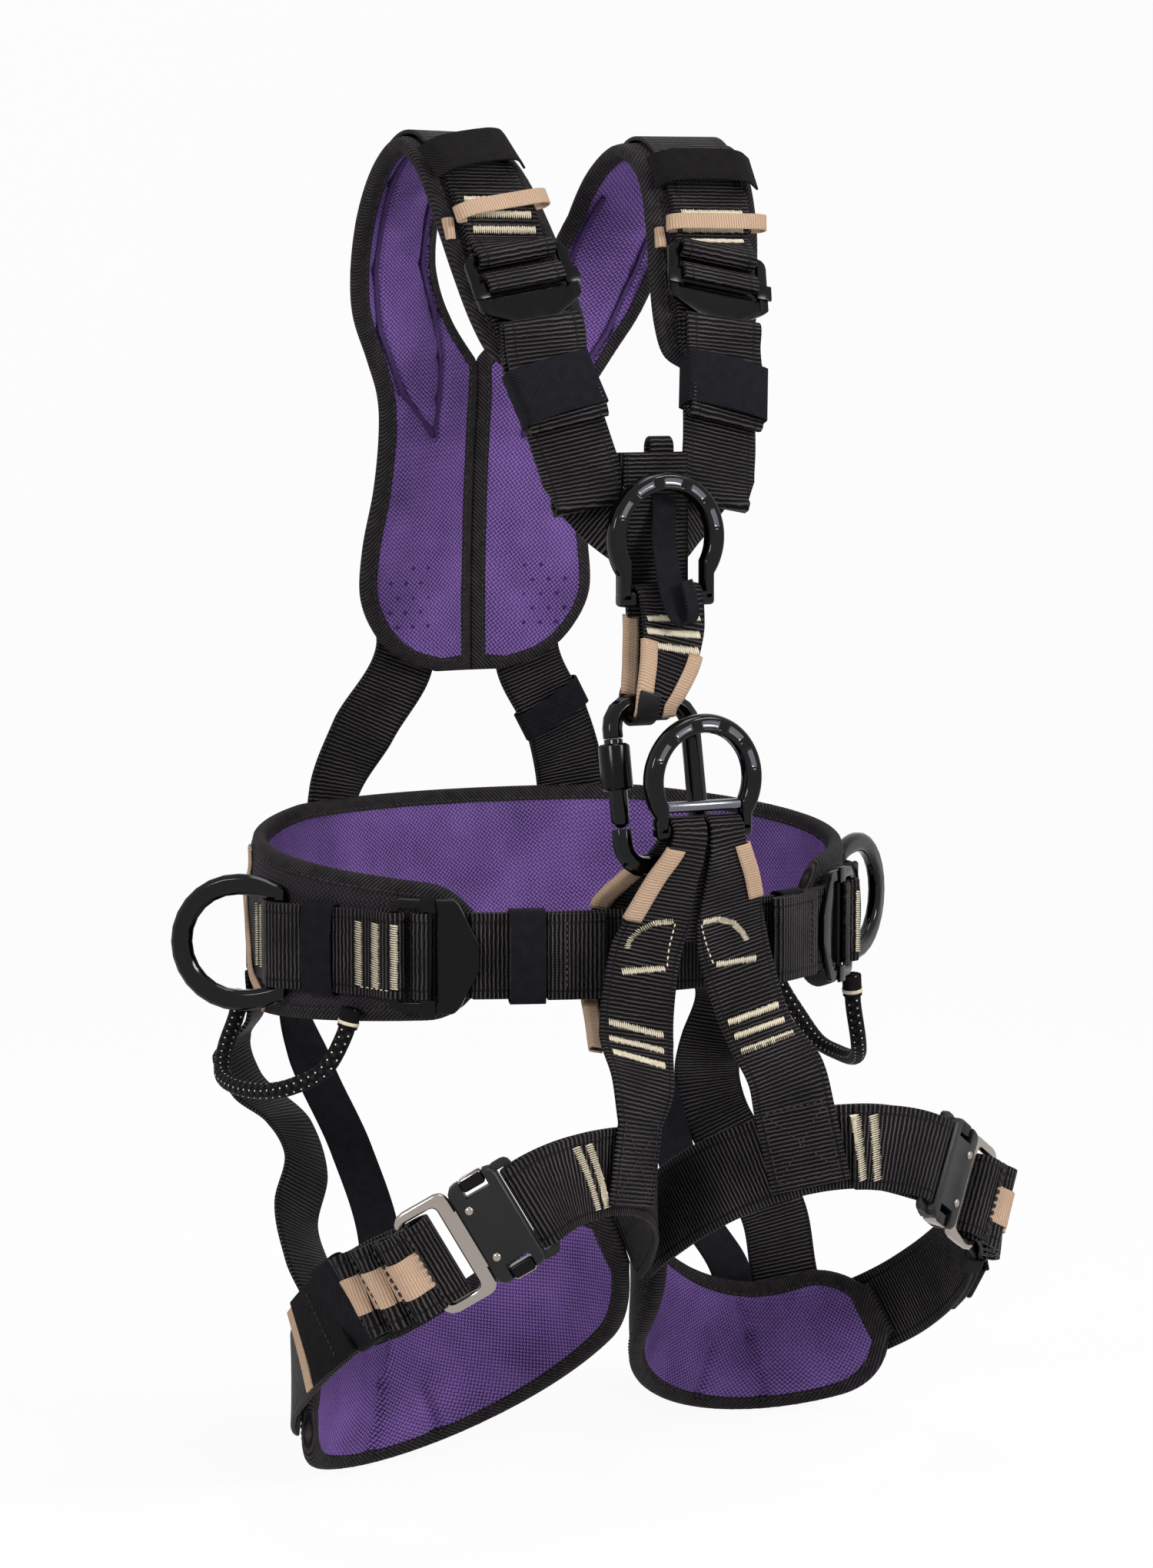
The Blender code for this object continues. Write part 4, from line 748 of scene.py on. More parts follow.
def ribbed(name, low, high, pitch, depth, roughness, **more):
    """Woven webbing: rounded ribs across the strap, with the fine warp threads seen on each."""
    made, tree = new_finish(name)
    uv = add(tree, "UVMap", uv_map="weave")
    spot = add(tree, "SeparateXYZ", {"Vector": uv})
    cloud = add(tree, "TexNoise", {"Vector": uv, "Scale": 220.0, "Detail": 2.0})
    sway = add(tree, "MapRange", {0: cloud, 3: -RIB_SWAY, 4: RIB_SWAY})
    along = add(tree, "Math", {0: spot.outputs["X"], 1: sway}, operation="ADD")
    turn = add(tree, "Math", {0: along, 1: math.tau / pitch}, operation="MULTIPLY")
    wave = add(tree, "Math", {0: turn}, operation="SINE")
    warp = add(tree, "Math", {0: spot.outputs["Y"], 1: WARP_PITCH}, operation="PINGPONG")
    fine = add(tree, "Math", {0: warp, 1: 350.0}, operation="MULTIPLY")
    rib = add(tree, "MapRange", {0: wave, 1: -1.0, 2: 1.0, 3: 0.0, 4: 0.85})
    # The colour is lighter on the rib tops as a painted highlight and near black between them as painted
    # shade.
    peak = add(tree, "Math", {0: rib, 1: 3.0}, operation="POWER")
    side = add(tree, "Math", {0: spot.outputs["Y"]}, operation="ABSOLUTE")
    line = add(tree, "Math", {0: side, 1: SELVEDGE_LINE, 2: SELVEDGE_HALF}, operation="COMPARE")
    plain = add(tree, "MapRange", {0: line, 3: 1.0, 4: 0.35})
    bare = add(tree, "Math", {0: rib, 1: fine}, operation="ADD")
    height = add(tree, "Math", {0: bare, 1: plain}, operation="MULTIPLY")
    # A broad cloud makes the painted highlight stronger in some places than others, as painted sheen; the
    # selvedge lines dim it, as painted shade in their grooves.
    scuffs_and_sheen = add(tree, "TexNoise", {"Vector": uv, "Scale": 35.0, "Detail": 3.0})
    share = add(tree, "MapRange", {0: scuffs_and_sheen, 1: 0.25, 2: 0.75, 3: 0.45, 4: 1.35})
    edged = add(tree, "Math", {0: peak, 1: plain}, operation="MULTIPLY")
    lit = add(tree, "Math", {0: edged, 1: share}, operation="MULTIPLY", use_clamp=True)
    colour = add(tree, "Mix", {0: lit, 6: tint(low), 7: tint(high)}, data_type="RGBA")
    surface(tree, colour.outputs[2], height, depth, roughness, **more)
    return made


# Polyester webbing, black, with a painted brownish-grey highlight on its ribs
black_webbing = ribbed("black_polyester_webbing", "#030303", "#5f585b", RIB_PITCH, 0.0009, 0.5, **MATT)


def steps(start, stop, step):
    """Values from start to stop, on the grid of step between them, so that layers share their stations."""
    low, high = min(start, stop), max(start, stop)
    grid = [step * n for n in range(math.ceil(low / step - 1), math.floor(high / step + 1) + 1)]
    values = [low] + [g for g in grid if low + step * 0.3 < g < high - step * 0.3] + [high]
    return values if start < stop else values[::-1]


def on_side(stations, side):
    return stations if side > 0 else [(flip(p), flip(a)) for p, a in stations]


class Seat:
    """A buckle's local frame: u along the strap, v across it, w outward."""

    def __init__(self, origin, u, w):
        self.origin, self.u, self.w = origin, u.normalized(), w.normalized()
        self.v = self.w.cross(self.u)

    def point(self, u, v, w):
        return self.origin + self.u * u + self.v * v + self.w * w

    def station(self, u, w):
        return self.point(u, 0, w), self.v

    def on(self, word):
        """The same seat on the named side of the wearer."""
        return self if word == "left" else Seat(flip(self.origin), flip(self.u), flip(self.w))


def seat_on(route, k, off, back=0.0, down=0.0):
    point, along, across, out = route.axes(k)
    return Seat(point + out * off - along * back - across * down, along, out)


def eye(base, back, seat, bar, radius=EYE_RADIUS, sense=1):
    """Lead a strap from its base round a bar to its tail, tangent to the bar's clearance on both sides."""
    along, out = seat.u * sense, seat.w

    def tangent(place, side):
        reach = place - bar
        flat = math.hypot(reach.dot(along), reach.dot(out))
        seen = math.atan2(reach.dot(out), reach.dot(along)) % math.tau
        return seen + side * math.acos(radius / flat)

    start, stop = tangent(base[-1][0], 1) - math.tau, tangent(back[0][0], -1)
    turn = []
    for n in range(BEND_STEPS + 3):
        a = start + (stop - start) * n / (BEND_STEPS + 2)
        turn.append((bar + (along * math.cos(a) + out * math.sin(a)) * radius, seat.v))
    return base + turn + back


def hook(seat):
    """The end of a strap round the sliding bar, from its free top end to the layer under the shield."""
    turn = [seat.station(SLIDER_REST + LAYER_GAP * 2, EYE_RADIUS)]
    for n in range(BEND_STEPS + 1):
        a = math.radians(90 + 180 * n / BEND_STEPS)
        turn.append(seat.station(HOOK_CENTRE + EYE_RADIUS * math.cos(a), EYE_RADIUS * math.sin(a)))
    return turn + [seat.station(SLIDER_REST, -EYE_RADIUS), seat.station(ADJUSTER_LENGTH / 2, -EYE_RADIUS)]


class Way:
    """A strap's middle line, smooth through its stations, with its direction across and its width."""

    def __init__(self, stations, width=WEB_WIDTH, square=True):
        self.widths = width if isinstance(width, list) else [width] * len(stations)
        self.points = [p for p, a in stations]
        self.gone = distances(self.points)
        self.length = self.gone[-1]
        self.across, self.slopes, last = [], [], stations[0][1]
        for n, (point, across) in enumerate(stations):
            i, j = max(n - 1, 0), min(n + 1, len(stations) - 1)
            along = (self.points[j] - self.points[i]).normalized()
            flat = (across - along * across.dot(along)).normalized() if square else across.normalized()
            last = flat if flat.dot(last) > 0 else -flat
            self.across.append(last)
            before, after = self.gone[n] - self.gone[i], self.gone[j] - self.gone[n]
            behind = (point - self.points[i]) / max(before, 1e-9)
            ahead = (self.points[j] - point) / max(after, 1e-9)
            if i < n < j:
                self.slopes.append((behind * after + ahead * before) / (before + after))
            else:
                self.slopes.append(ahead + behind)

    def at(self, s):
        """Point, direction along, direction across and width at a distance along the strap."""
        i = stretch(self.gone, s)
        h = self.gone[i + 1] - self.gone[i]
        t = (s - self.gone[i]) / h
        a, b, m, k = self.points[i], self.points[i + 1], self.slopes[i] * h, self.slopes[i + 1] * h
        t2, t3 = t * t, t * t * t
        point = a * (2 * t3 - 3 * t2 + 1) + b * (3 * t2 - 2 * t3) + m * (t3 - 2 * t2 + t) + k * (t3 - t2)
        along = (b - a) * (6 * t - 6 * t2) + m * (3 * t2 - 4 * t + 1) + k * (3 * t2 - 2 * t)
        across = self.across[i].lerp(self.across[i + 1], t).normalized()
        return point, along.normalized(), across, self.widths[i] + (self.widths[i + 1] - self.widths[i]) * t

    def spot(self, s, c, lift, toward):
        """A point on the strap at c across it, lifted off the face that looks toward a direction."""
        point, along, across, width = self.at(s)
        out = along.cross(across).normalized()
        return point + across * c + out * (lift if out.dot(toward) > 0 else -lift)


def thicken(made, thick):
    """Give a bent sheet its wall, half of it to each side."""
    wall = made.modifiers.new("thickness", "SOLIDIFY")
    wall.thickness = thick
    wall.offset = 0.0


def round_edges(made, width, segments, angle):
    """Round the edges that are sharper than an angle."""
    edge = made.modifiers.new("edges", "BEVEL")
    edge.width = width
    edge.segments = segments
    edge.limit_method = "ANGLE"
    edge.angle_limit = math.radians(angle)


def ribbon(name, way, node=None, material=black_webbing, thick=WEB_THICK, slot="black_webbing", step=0.003,
           columns=4):
    """Weave a strap along its way: a flat grid bent to it, given thickness and rounded selvedges."""
    rows = max(2, math.ceil(way.length / step))
    seats = [way.at(way.length * n / rows) for n in range(rows + 1)]

    def bend(n, f):
        point, along, across, width = seats[n]
        return point + across * f * width, (way.length * n / rows, f * width)

    made = place_piece(name, bent_grid(rows, columns, bend), [material])
    thicken(made, thick)
    round_edges(made, thick * 0.3, 2, 50)
    if node:
        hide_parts(node)
    return made


def strap_pair(name, stations, node=None, width=WEB_WIDTH, square=True, **more):
    """The same strap on both sides of the wearer; gives both ways by side."""
    ways = {}
    for word, side in SIDES.items():
        ways[word] = Way(on_side(stations, side), width, square)
        ribbon(f"{name}_{word}", ways[word], node and f"{node}_{word}", **more)
    return ways


def bulge(angle):
    near = abs(abs(angle) - SIDE_RING_ANGLE) / BULGE_SPAN
    return ON_PAD + (BULGE_RISE * (0.5 + 0.5 * math.cos(math.pi * near)) if near < 1 else 0.0)


waist_seat = seat_on(BELT, WAIST_ADJUSTER, ON_PAD + EYE_RADIUS)
angles = steps(0, WAIST_ADJUSTER - WAIST_EYE, 3.0)
half = [BELT.at(k, bulge(k)) for k in angles]
tail = [BELT.at(k, bulge(k) + SECOND_LAYER) for k in angles[:-WAIST_TAIL - 1:-1]]
half = eye(half, tail, waist_seat, waist_seat.point(END_BAR, 0, 0))
waist_back = Way(on_side(half, -1)[::-1] + half[1:])
ribbon("waist_webbing_back", waist_back, "waist_strap_back")
front = hook(waist_seat) + [BELT.at(k, ON_PAD) for k in steps(WAIST_ADJUSTER + WAIST_EYE, 180, 6.0)]
waist_front = Way(front + on_side(front, -1)[::-1][1:])
ribbon("waist_webbing_front", waist_front, "waist_strap_front")

# Shoulder webbing and chest webs: the same webbing, sewn to the back of the pad, over the shoulder to the
# adjuster, and from its sliding bar down to the chest, where the end is folded back on itself.
SHOULDER_ADJUSTER, SHOULDER_EYE, SHOULDER_TAIL = 17.4, 0.9, 3
NECK_KEY, NECK_SLANT = 8.0, -0.004
CHEST_ACROSS = Vector((0.97, 0.04, -0.22))
CHEST_WEB = [
    (0.0475, -0.0830, 0.2800, 0.045), (0.0440, -0.0895, 0.2620, 0.045), (0.0405, -0.0945, 0.2450, 0.045),
    (0.0395, -0.0976, 0.2340, 0.036), (0.0394, -0.0978, 0.2310, 0.036), (0.0394, -0.0957, 0.2293, 0.036),
    (0.0394, -0.0937, 0.2310, 0.036), (0.0397, -0.0937, 0.2370, 0.036),
]
shoulder_seat = seat_on(SHOULDER, SHOULDER_ADJUSTER, ON_CURVE + EYE_RADIUS)
keys = steps(6.0, SHOULDER_ADJUSTER - SHOULDER_EYE, 0.5)
path = [SHOULDER.at(k, ON_CURVE, NECK_SLANT * max(NECK_KEY - k, 0.0)) for k in keys]
tail = [SHOULDER.at(k, ON_CURVE + SECOND_LAYER) for k in keys[:-SHOULDER_TAIL - 1:-1]]
path = eye(path, tail, shoulder_seat, shoulder_seat.point(END_BAR, 0, 0))
shoulder_ways = strap_pair("shoulder_webbing", path, "shoulder_strap", square=False)
path = hook(shoulder_seat) + [SHOULDER.at(k, ON_PAD) for k in (19.0, 20.0)]
widths = [WEB_WIDTH] * len(path) + [w for x, y, z, w in CHEST_WEB]
path += [(Vector((x, y, z)), CHEST_ACROSS) for x, y, z, w in CHEST_WEB]
chest_ways = strap_pair("chest_webbing", path, "chest_web", widths, step=0.002)

# Back straps and dorsal anchor: 40 mm webbing from the belt to the moulded plate between the shoulder
# blades, and a webbing loop on that plate that carries the rear ring.
BACK_STRAP_ANGLE, BACK_STRAP_WIDTH, BACK_STRAP_FREE = 26.5, 0.040, Vector((0.062, 0.1290, 0.096))
BACK_STRAP_TOP = ((1.2, 0.013), (2.4, 0.004), (3.2, -0.008), (3.8, -0.0125))
DORSAL_PLACE, DORSAL_LEAN = Vector((0, 0.1252, 0.231)), math.radians(4.4)
DORSAL_PLATE, RING_EYE = 0.004, 0.0066


def crossing(route, k, lift, spots):
    """Stations of a strap that crosses a route at k, at distances to the sides of it."""
    point, along, across, out = route.axes(k)
    return [(point + out * lift + across * c, along) for c in spots]


path = crossing(BELT, BACK_STRAP_ANGLE, ON_PAD, (0.027, 0.058)) + [(BACK_STRAP_FREE, ACROSS)]
path += [SHOULDER.at(k, ON_CURVE, c) for k, c in BACK_STRAP_TOP]
back_ways = strap_pair("back_webbing", path, "back_strap", BACK_STRAP_WIDTH)
lean_y, lean_z = math.sin(DORSAL_LEAN), math.cos(DORSAL_LEAN)
dorsal_seat = Seat(DORSAL_PLACE, Vector((0, lean_y, -lean_z)), Vector((0, lean_z, lean_y)))
level = DORSAL_PLATE / 2 + LAYER_GAP + WEB_THICK / 2
dorsal_bar = dorsal_seat.point(0, 0, level + RING_EYE)
base = [dorsal_seat.station(u, level) for u in (-0.034, -0.018)]
tail = [dorsal_seat.station(u, level + SECOND_LAYER) for u in (-0.018, -0.034)]
path = eye(base, tail, dorsal_seat, dorsal_bar, RING_EYE)
ribbon("dorsal_webbing", Way(path, BACK_STRAP_WIDTH), "dorsal_loop")

# Chest yoke, chest band and sternal strap: the yoke joins the chest webs behind the front ring, the narrow
# band holds them together, and the sternal strap hangs the ring and the carabiner.
YOKE, YOKE_WIDTH = [(0.039, -0.0876, 0.2405), (0.021, -0.0915, 0.2225), (0.008, -0.0967, 0.2135)], 0.034
BAND_PLACE, BAND_WIDTH = (-0.0846, 0.2490), 0.018
STERNAL_BAR, STERNAL_TOP, STERNAL_WIDTH = Vector((0.0, -0.110, 0.183)), 0.258, 0.038
CARABINER_TOP, CARABINER_ROD, CARABINER_LOOP = Vector((-0.016, -0.122, 0.1295)), 0.0055, 0.020


def way_through(rows):
    """A strap's way through points that are given with its width there."""
    return Way([(Vector((x, y, z)), ACROSS) for x, y, z, w in rows], [w for x, y, z, w in rows])


def half_turn(x, bar, radius, first, rise, width):
    """Rows of a strap's turn round a bar, from its front (-1) or back (1), over (1) or under (-1) it."""
    rows = []
    for n in range(BEND_STEPS + 1):
        a = math.pi * n / BEND_STEPS
        rows.append((x, bar.y + first * radius * math.cos(a), bar.z + rise * radius * math.sin(a), width))
    return rows


path = [(Vector(p), UP) for p in YOKE]
path += on_side([(p, -UP) for p, up in path], -1)[::-1]
ribbon("chest_yoke_webbing", Way(path, YOKE_WIDTH), "chest_yoke")
path = [(Vector((x, *BAND_PLACE)), UP) for x in (-0.042, -0.014, 0.014, 0.042)]
ribbon("chest_band_webbing", Way(path, BAND_WIDTH), "chest_band")
low, loop = CARABINER_TOP, CARABINER_ROD + LAYER_GAP * 2 + WEB_THICK / 2
rear, ahead = STERNAL_BAR.y + RING_EYE + SECOND_LAYER + LAYER_GAP, STERNAL_BAR.y - RING_EYE
high = STERNAL_BAR.z
path = [
    (0.0, rear, STERNAL_TOP, STERNAL_WIDTH),
    (0.0, rear, high + 0.042, STERNAL_WIDTH),
    (0.0, rear, high + 0.007, STERNAL_WIDTH),
    (0.0, rear - 0.0010, high - 0.013, 0.0361),
    (low.x * 0.4, low.y + 0.0150, low.z + 0.0205, 0.030),
    (low.x * 0.85, low.y + loop + 0.0010, low.z + 0.0065, 0.024),
]
path += half_turn(low.x, low, loop, 1, -1, CARABINER_LOOP)
path += [
    (low.x * 0.85, low.y - loop - 0.0006, low.z + 0.0075, 0.024),
    (low.x * 0.4, ahead - 0.0099, low.z + 0.0225, 0.030),
    (0.0, ahead - 0.0022, high - 0.013, 0.0361),
]
path += half_turn(0.0, STERNAL_BAR, RING_EYE, -1, 1, STERNAL_WIDTH)
path.append((0.0, STERNAL_BAR.y + RING_EYE - 0.0006, high - 0.010, STERNAL_WIDTH))
sternal_way = way_through(path)
ribbon("sternal_webbing", sternal_way, "sternal_strap", step=0.002)

# Risers: 42 mm webbing from behind the ventral ring, gathered over its bar and led down the front to each
# thigh strap, where a stitched box holds the end. Only the right one goes on behind the ring.
VENTRAL_BAR = Vector((0.0, -0.150, 0.066))
RISER_X, RISER_GATHERED, RISER_WIDTH, RISER_LEG = 0.0109, 0.0195, 0.042, -30.0
RISER_BACK = [
    (0.0355, -0.1385, -0.050, 0.042), (0.0300, -0.1240, -0.038, 0.042), (0.0245, -0.1060, -0.022, 0.042),
    (0.0245, -0.1030, 0.000, 0.042), (0.0205, -0.1050, 0.022, 0.038), (0.0150, -0.1150, 0.038, 0.028),
    (0.0115, -0.1310, 0.052, 0.0195),
]
RISER_STUB = [(RISER_X, VENTRAL_BAR.y + RING_EYE, VENTRAL_BAR.z - 0.009, RISER_GATHERED)]
RISER_FRONT = [
    (0.0120, -0.1560, 0.057, 0.0205), (0.0168, -0.1495, 0.040, 0.029), (0.0210, -0.1420, 0.020, 0.038),
    (0.0255, -0.1370, 0.004, 0.042), (0.0305, -0.1385, -0.016, 0.042), (0.0365, -0.1460, -0.041, 0.042),
]
RISER_TURN = (Vector((0.0425, -0.1640, -0.063)), Vector((0.94, -0.34, 0.0)))
riser_ways = {}
for word, side in SIDES.items():
    path = RISER_STUB if side > 0 else RISER_BACK
    path = path + half_turn(RISER_X, VENTRAL_BAR, RING_EYE, 1, 1, RISER_GATHERED) + RISER_FRONT
    stations = [(Vector((x, y, z)), ACROSS) for x, y, z, w in path] + [RISER_TURN]
    stations += crossing(LEG, RISER_LEG, ON_CURVE + SECOND_LAYER + LAYER_GAP, (0.024, 0.006, -0.018))
    widths = [w for x, y, z, w in path] + [RISER_WIDTH] * 4
    riser_ways[word] = Way(on_side(stations, side), widths)
    ribbon("riser_webbing_" + word, riser_ways[word], "riser_" + word)

# Gusset: a short tapered webbing behind the two risers, sewn to both, which closes the gap between them
# under the ring.
GUSSET = [
    (0, -0.1490, 0.0575, 0.016), (0, -0.1475, 0.0480, 0.024), (0, -0.1440, 0.0370, 0.032),
    (0, -0.1385, 0.0200, 0.040), (0, -0.1340, 0.0060, 0.040),
]
ribbon("riser_gusset", way_through(GUSSET), step=0.002)

# Thigh straps: the front strap comes from the inner thigh to the buckle's housing, the outer strap from
# the pad to the buckle's frame, and each turns back on itself as a tail.
LEG_BUCKLE, HOUSING_BAR, TONGUE_BAR, LEG_STEP = 28.0, -0.016, 0.0474, 8.0
TONGUE_ROLL_WIDTH = 0.0435
TONGUE_ROLL = [
    (0.0600, 0.0076), (0.0460, 0.0080), (0.0375, 0.0072), (0.0335, 0.0035), (0.0335, -0.0035),
    (0.0375, -0.0072), (0.0460, -0.0078), (0.0560, -0.0072),
]
leg_seat = seat_on(LEG, LEG_BUCKLE, ON_CURVE + EYE_RADIUS, 0.016, 0.006)


def on_leg(angle):
    on_pad = angle > THIGH_FROM - LEG_STEP or angle < THIGH_TO - 360 + LEG_STEP
    return LEG.at(angle, ON_CURVE + LAYER_GAP * 2 if on_pad else ON_CURVE)


def leg_strap(start, stop, tail, bar, sense):
    """From the pad to a bar of the buckle, round it and back as a tail over the given angles."""
    base = [on_leg(k) for k in steps(start, stop, LEG_STEP)]
    back = [LEG.at(k, ON_CURVE + SECOND_LAYER) for k in tail]
    return eye(base, back, leg_seat, leg_seat.point(bar, 0, 0), sense=sense)


path = leg_strap(-96.0, -8.0, (-8.0, -14.0), HOUSING_BAR, 1)
thigh_fronts = strap_pair("thigh_webbing_front", path, "thigh_strap_front", square=False)
path = leg_strap(132.0, 66.0, (66.0, 72.0, 80.0, 88.0, 96.0), TONGUE_BAR, -1)
thigh_outers = strap_pair("thigh_webbing_outer", path, "thigh_strap_outer", square=False)
roll = [leg_seat.station(u, w) for u, w in TONGUE_ROLL]
strap_pair("tongue_roll", roll, None, TONGUE_ROLL_WIDTH, step=0.0015)

# Rear straps: a webbing and a narrower knitted elastic, sewn to the belt's back and to each thigh pad. They
# keep the leg loops up and hang slack.
REAR_ELASTIC = [(0.107, 0.106, -0.084), (0.100, 0.066, -0.130), (0.099, 0.031, -0.178)]
REAR_WEB = [
    (0.158, 0.097, -0.072), (0.149, 0.098, -0.094), (0.133, 0.076, -0.113), (0.131, 0.058, -0.134),
    (0.143, 0.045, -0.158), (0.146, 0.022, -0.182),
]
REAR_ELASTIC_WIDTH, REAR_WEB_WIDTH = 0.025, 0.038
# Knitted elastic, navy black, with fine slanting ribs
navy_elastic = twill("navy_black_elastic", "#0a090c", "#302f37", 0.0019, 0.0005, 0.75, **MATT)


def rear_strap(angles, top, free, across_free):
    """From the belt at one angle, through its free points, to the thigh pad at the other."""
    path = crossing(BELT, angles[0], ON_PAD, top) + [(Vector(p), across_free) for p in free]
    return path + crossing(LEG, angles[1], ON_CURVE + LAYER_GAP, (0.036, 0.010))


path = rear_strap((40.0, 176.0), (-0.026, -0.056), REAR_ELASTIC, ACROSS)
knit = {"material": navy_elastic, "slot": "dark_elastic"}
strap_pair("rear_elastic_band", path, "rear_elastic", REAR_ELASTIC_WIDTH, **knit)
path = rear_strap((60.0, 149.0), (-0.026, -0.054), REAR_WEB, Vector((0.8, -0.6, 0.0)))
strap_pair("rear_webbing", path, "rear_web", REAR_WEB_WIDTH)

# Elastic keepers: short bands of knitted elastic, each sewn into a flat ring round a strap, which hold the
# tails down by their own tension.
KEEPER_WALL, KEEPER_BEND, KEEPER_WIDE = 0.0011, 0.0016, 0.0465
FRONT, LEFT_OUT, RIGHT_OUT = Vector((0, -1, 0.2)), Vector((0.7, -0.7, 0)), Vector((-0.7, -0.7, 0))
OUT_TO = {"left": LEFT_OUT, "right": RIGHT_OUT}
WAIST_KEEPER_ANGLE, WAIST_KEEPER_LONG = 153.0, 0.0185
CHEST_KEEPER_AT, CHEST_KEEPER = 0.0815, (0.030, 0.0110, 0.0040)
BACK_KEEPER_AT, BACK_KEEPER = 0.0820, (0.0180, 0.0415, 0.0042)
TAIL_KEEPER_AT, TAIL_KEEPER = 0.0330, (0.0195, 0.0068, -0.00145)


def keeper(name, seat, length, wide, tall, node=None):
    """A sewn ring of elastic round a strap, wide and tall inside."""
    r = min(tall / 2, KEEPER_BEND)
    x, y = wide / 2 + KEEPER_WALL / 2 - r, tall / 2 + KEEPER_WALL / 2 - r
    path = []
    for corner, (cx, cy) in enumerate(((x, y), (-x, y), (-x, -y), (x, -y), (x, y))):
        for n in range(5 if corner < 4 else 1):
            a = math.radians(90 * corner + 22.5 * n)
            path.append((seat.point(0, cx + r * math.cos(a), cy + r * math.sin(a)), seat.u))
    return ribbon(name, Way(path, length), node, navy_elastic, KEEPER_WALL, "dark_elastic", 0.0015, 3)


def keeper_on(name, way, s, toward, length, tall, lift, node=None):
    """A keeper round a strap and what lies on it, its middle lifted off the strap."""
    point, along, across, width = way.at(s)
    out = toward - along * toward.dot(along)
    return keeper(name, Seat(way.spot(s, 0, lift, toward), along, out), length, KEEPER_WIDE, tall, node)


for word, way in chest_ways.items():
    keeper_on("chest_elastic_" + word, way, CHEST_KEEPER_AT, FRONT, *CHEST_KEEPER, "chest_keeper_" + word)
for word, lift, tall in (("left", 0.0019, 0.0070), ("right", 0.0044, 0.0122)):
    seat = seat_on(BELT, WAIST_KEEPER_ANGLE, ON_PAD + lift).on(word)
    keeper("waist_elastic_" + word, seat, WAIST_KEEPER_LONG, KEEPER_WIDE, tall, "waist_keeper_" + word)
point, along, across, width = back_ways["left"].at(BACK_KEEPER_AT)
keeper("back_elastic_left", Seat(point, along, along.cross(across)), *BACK_KEEPER)
for word, s in (("right", TAIL_KEEPER_AT), ("left", waist_back.length - TAIL_KEEPER_AT)):
    keeper_on("waist_tail_elastic_" + word, waist_back, s, OUT_TO[word], *TAIL_KEEPER)

# Bar tacks: dense satin stitches in cream polyester thread, sewn through all layers, which carry the load
# where straps join.
TACK_WIDTH, TACK_PITCH, TACK_LIFT = 0.0040, 0.0012, 0.0011
TACK_PROUD, TACK_SUNK, TACK_UNEVEN = 0.0014, 0.0006, 0.35
# Polyester sewing thread with a slight lustre, cream, unevenly dyed
cream_thread = thread("cream_polyester_thread", "#b3a487", "#fff6e0")


def sew(bm, way, line, toward, width):
    """Satin-stitch along a line of flat points (distance along a strap, distance across it)."""
    points = [Vector(p) for p in line]
    gone = distances(points)
    rows = max(2, round(gone[-1] / TACK_PITCH)) * 2
    made = bmesh.ops.create_grid(bm, x_segments=rows, y_segments=4, size=0.5)["verts"]
    for v in made:
        n, f = round((v.co.x + 0.5) * rows), v.co.y
        far = gone[-1] * n / rows
        i = stretch(gone, far)
        run = (points[i + 1] - points[i]).normalized()
        uneven = noise.noise(Vector((n * 3.1, points[0].x * 900, 7.0 if f > 0 else 2.0)))
        wide = f * width * (1 + TACK_UNEVEN * uneven)
        flat = points[i] + run * (far - gone[i]) + Vector((-run.y, run.x)) * wide
        proud = -TACK_SUNK
        if n % 2:
            flat += run * TACK_PITCH * f
            proud = TACK_PROUD * math.sqrt(max(1 - 3.6 * f * f, 0.0))
        v.co = way.spot(flat.x, flat.y, TACK_LIFT + proud, toward)
    for face in {face for v in made for face in v.link_faces}:
        face.normal_update()
        if face.normal.dot(toward) < 0:
            face.normal_flip()


def tack_piece(name, way, lines, toward, *widths):
    """Tacks on one strap, each with its own width or all with the same."""
    bm = bmesh.new()
    for n, line in enumerate(lines):
        sew(bm, way, line, toward, widths[n % len(widths)])
    return place_piece(name, bm, [cream_thread])


def bars(starts, low, high, lean=0.0):
    """Straight tacks side by side, each from one edge of a strap to the other."""
    return [[(s, low), (s + lean, high)] for s in starts]


def laid_line(way, start, stop, lift, toward):
    """Close points on one face of a strap between two flat points, for a running stitch."""
    count = max(2, math.ceil(abs(stop[0] - start[0]) / 0.003))
    line = []
    for n in range(count + 1):
        s, c = Vector(start).lerp(Vector(stop), n / count)
        line.append((way.spot(s, c, lift, toward), way.spot(s, c, 1, toward) - way.spot(s, c, 0, toward)))
    return line


rows = bars((0.3617, 0.3533, 0.3455), -0.0185, 0.0185)
tack_piece("shoulder_tacks_right", shoulder_ways["right"], rows, FRONT, TACK_WIDTH)
rows = bars((0.3557, 0.3473, 0.3395), -0.0185, 0.0185)
tack_piece("shoulder_tacks_left", shoulder_ways["left"], rows, FRONT, TACK_WIDTH)
WAIST_TACKS = (0.0577, 0.0697, 0.0815)
for word, toward in (("right", RIGHT_OUT), ("left", LEFT_OUT)):
    places = [s if word == "right" else waist_back.length - s for s in WAIST_TACKS]
    rows = bars(places, -0.0175, 0.0165)
    tack_piece("waist_tacks_" + word, waist_back, rows, toward, 0.0042, 0.0060, 0.0030)
rows = bars((0.1950, 0.2035), -0.016, 0.018)
tack_piece("ring_tacks_right", waist_back, rows, -ACROSS, 0.0030)
rows = bars((0.2040, 0.1955, 0.1870), -0.0160, 0.0150, 0.0045)
tack_piece("sternal_tacks", sternal_way, rows, FRONT, TACK_WIDTH)
RISER_TACKS = {
    "right": bars((0.2770, 0.2860, 0.2950), 0.0165, -0.0150, 0.0030),
    "left": bars((0.1360, 0.1445, 0.1535), -0.0170, 0.0160),
}
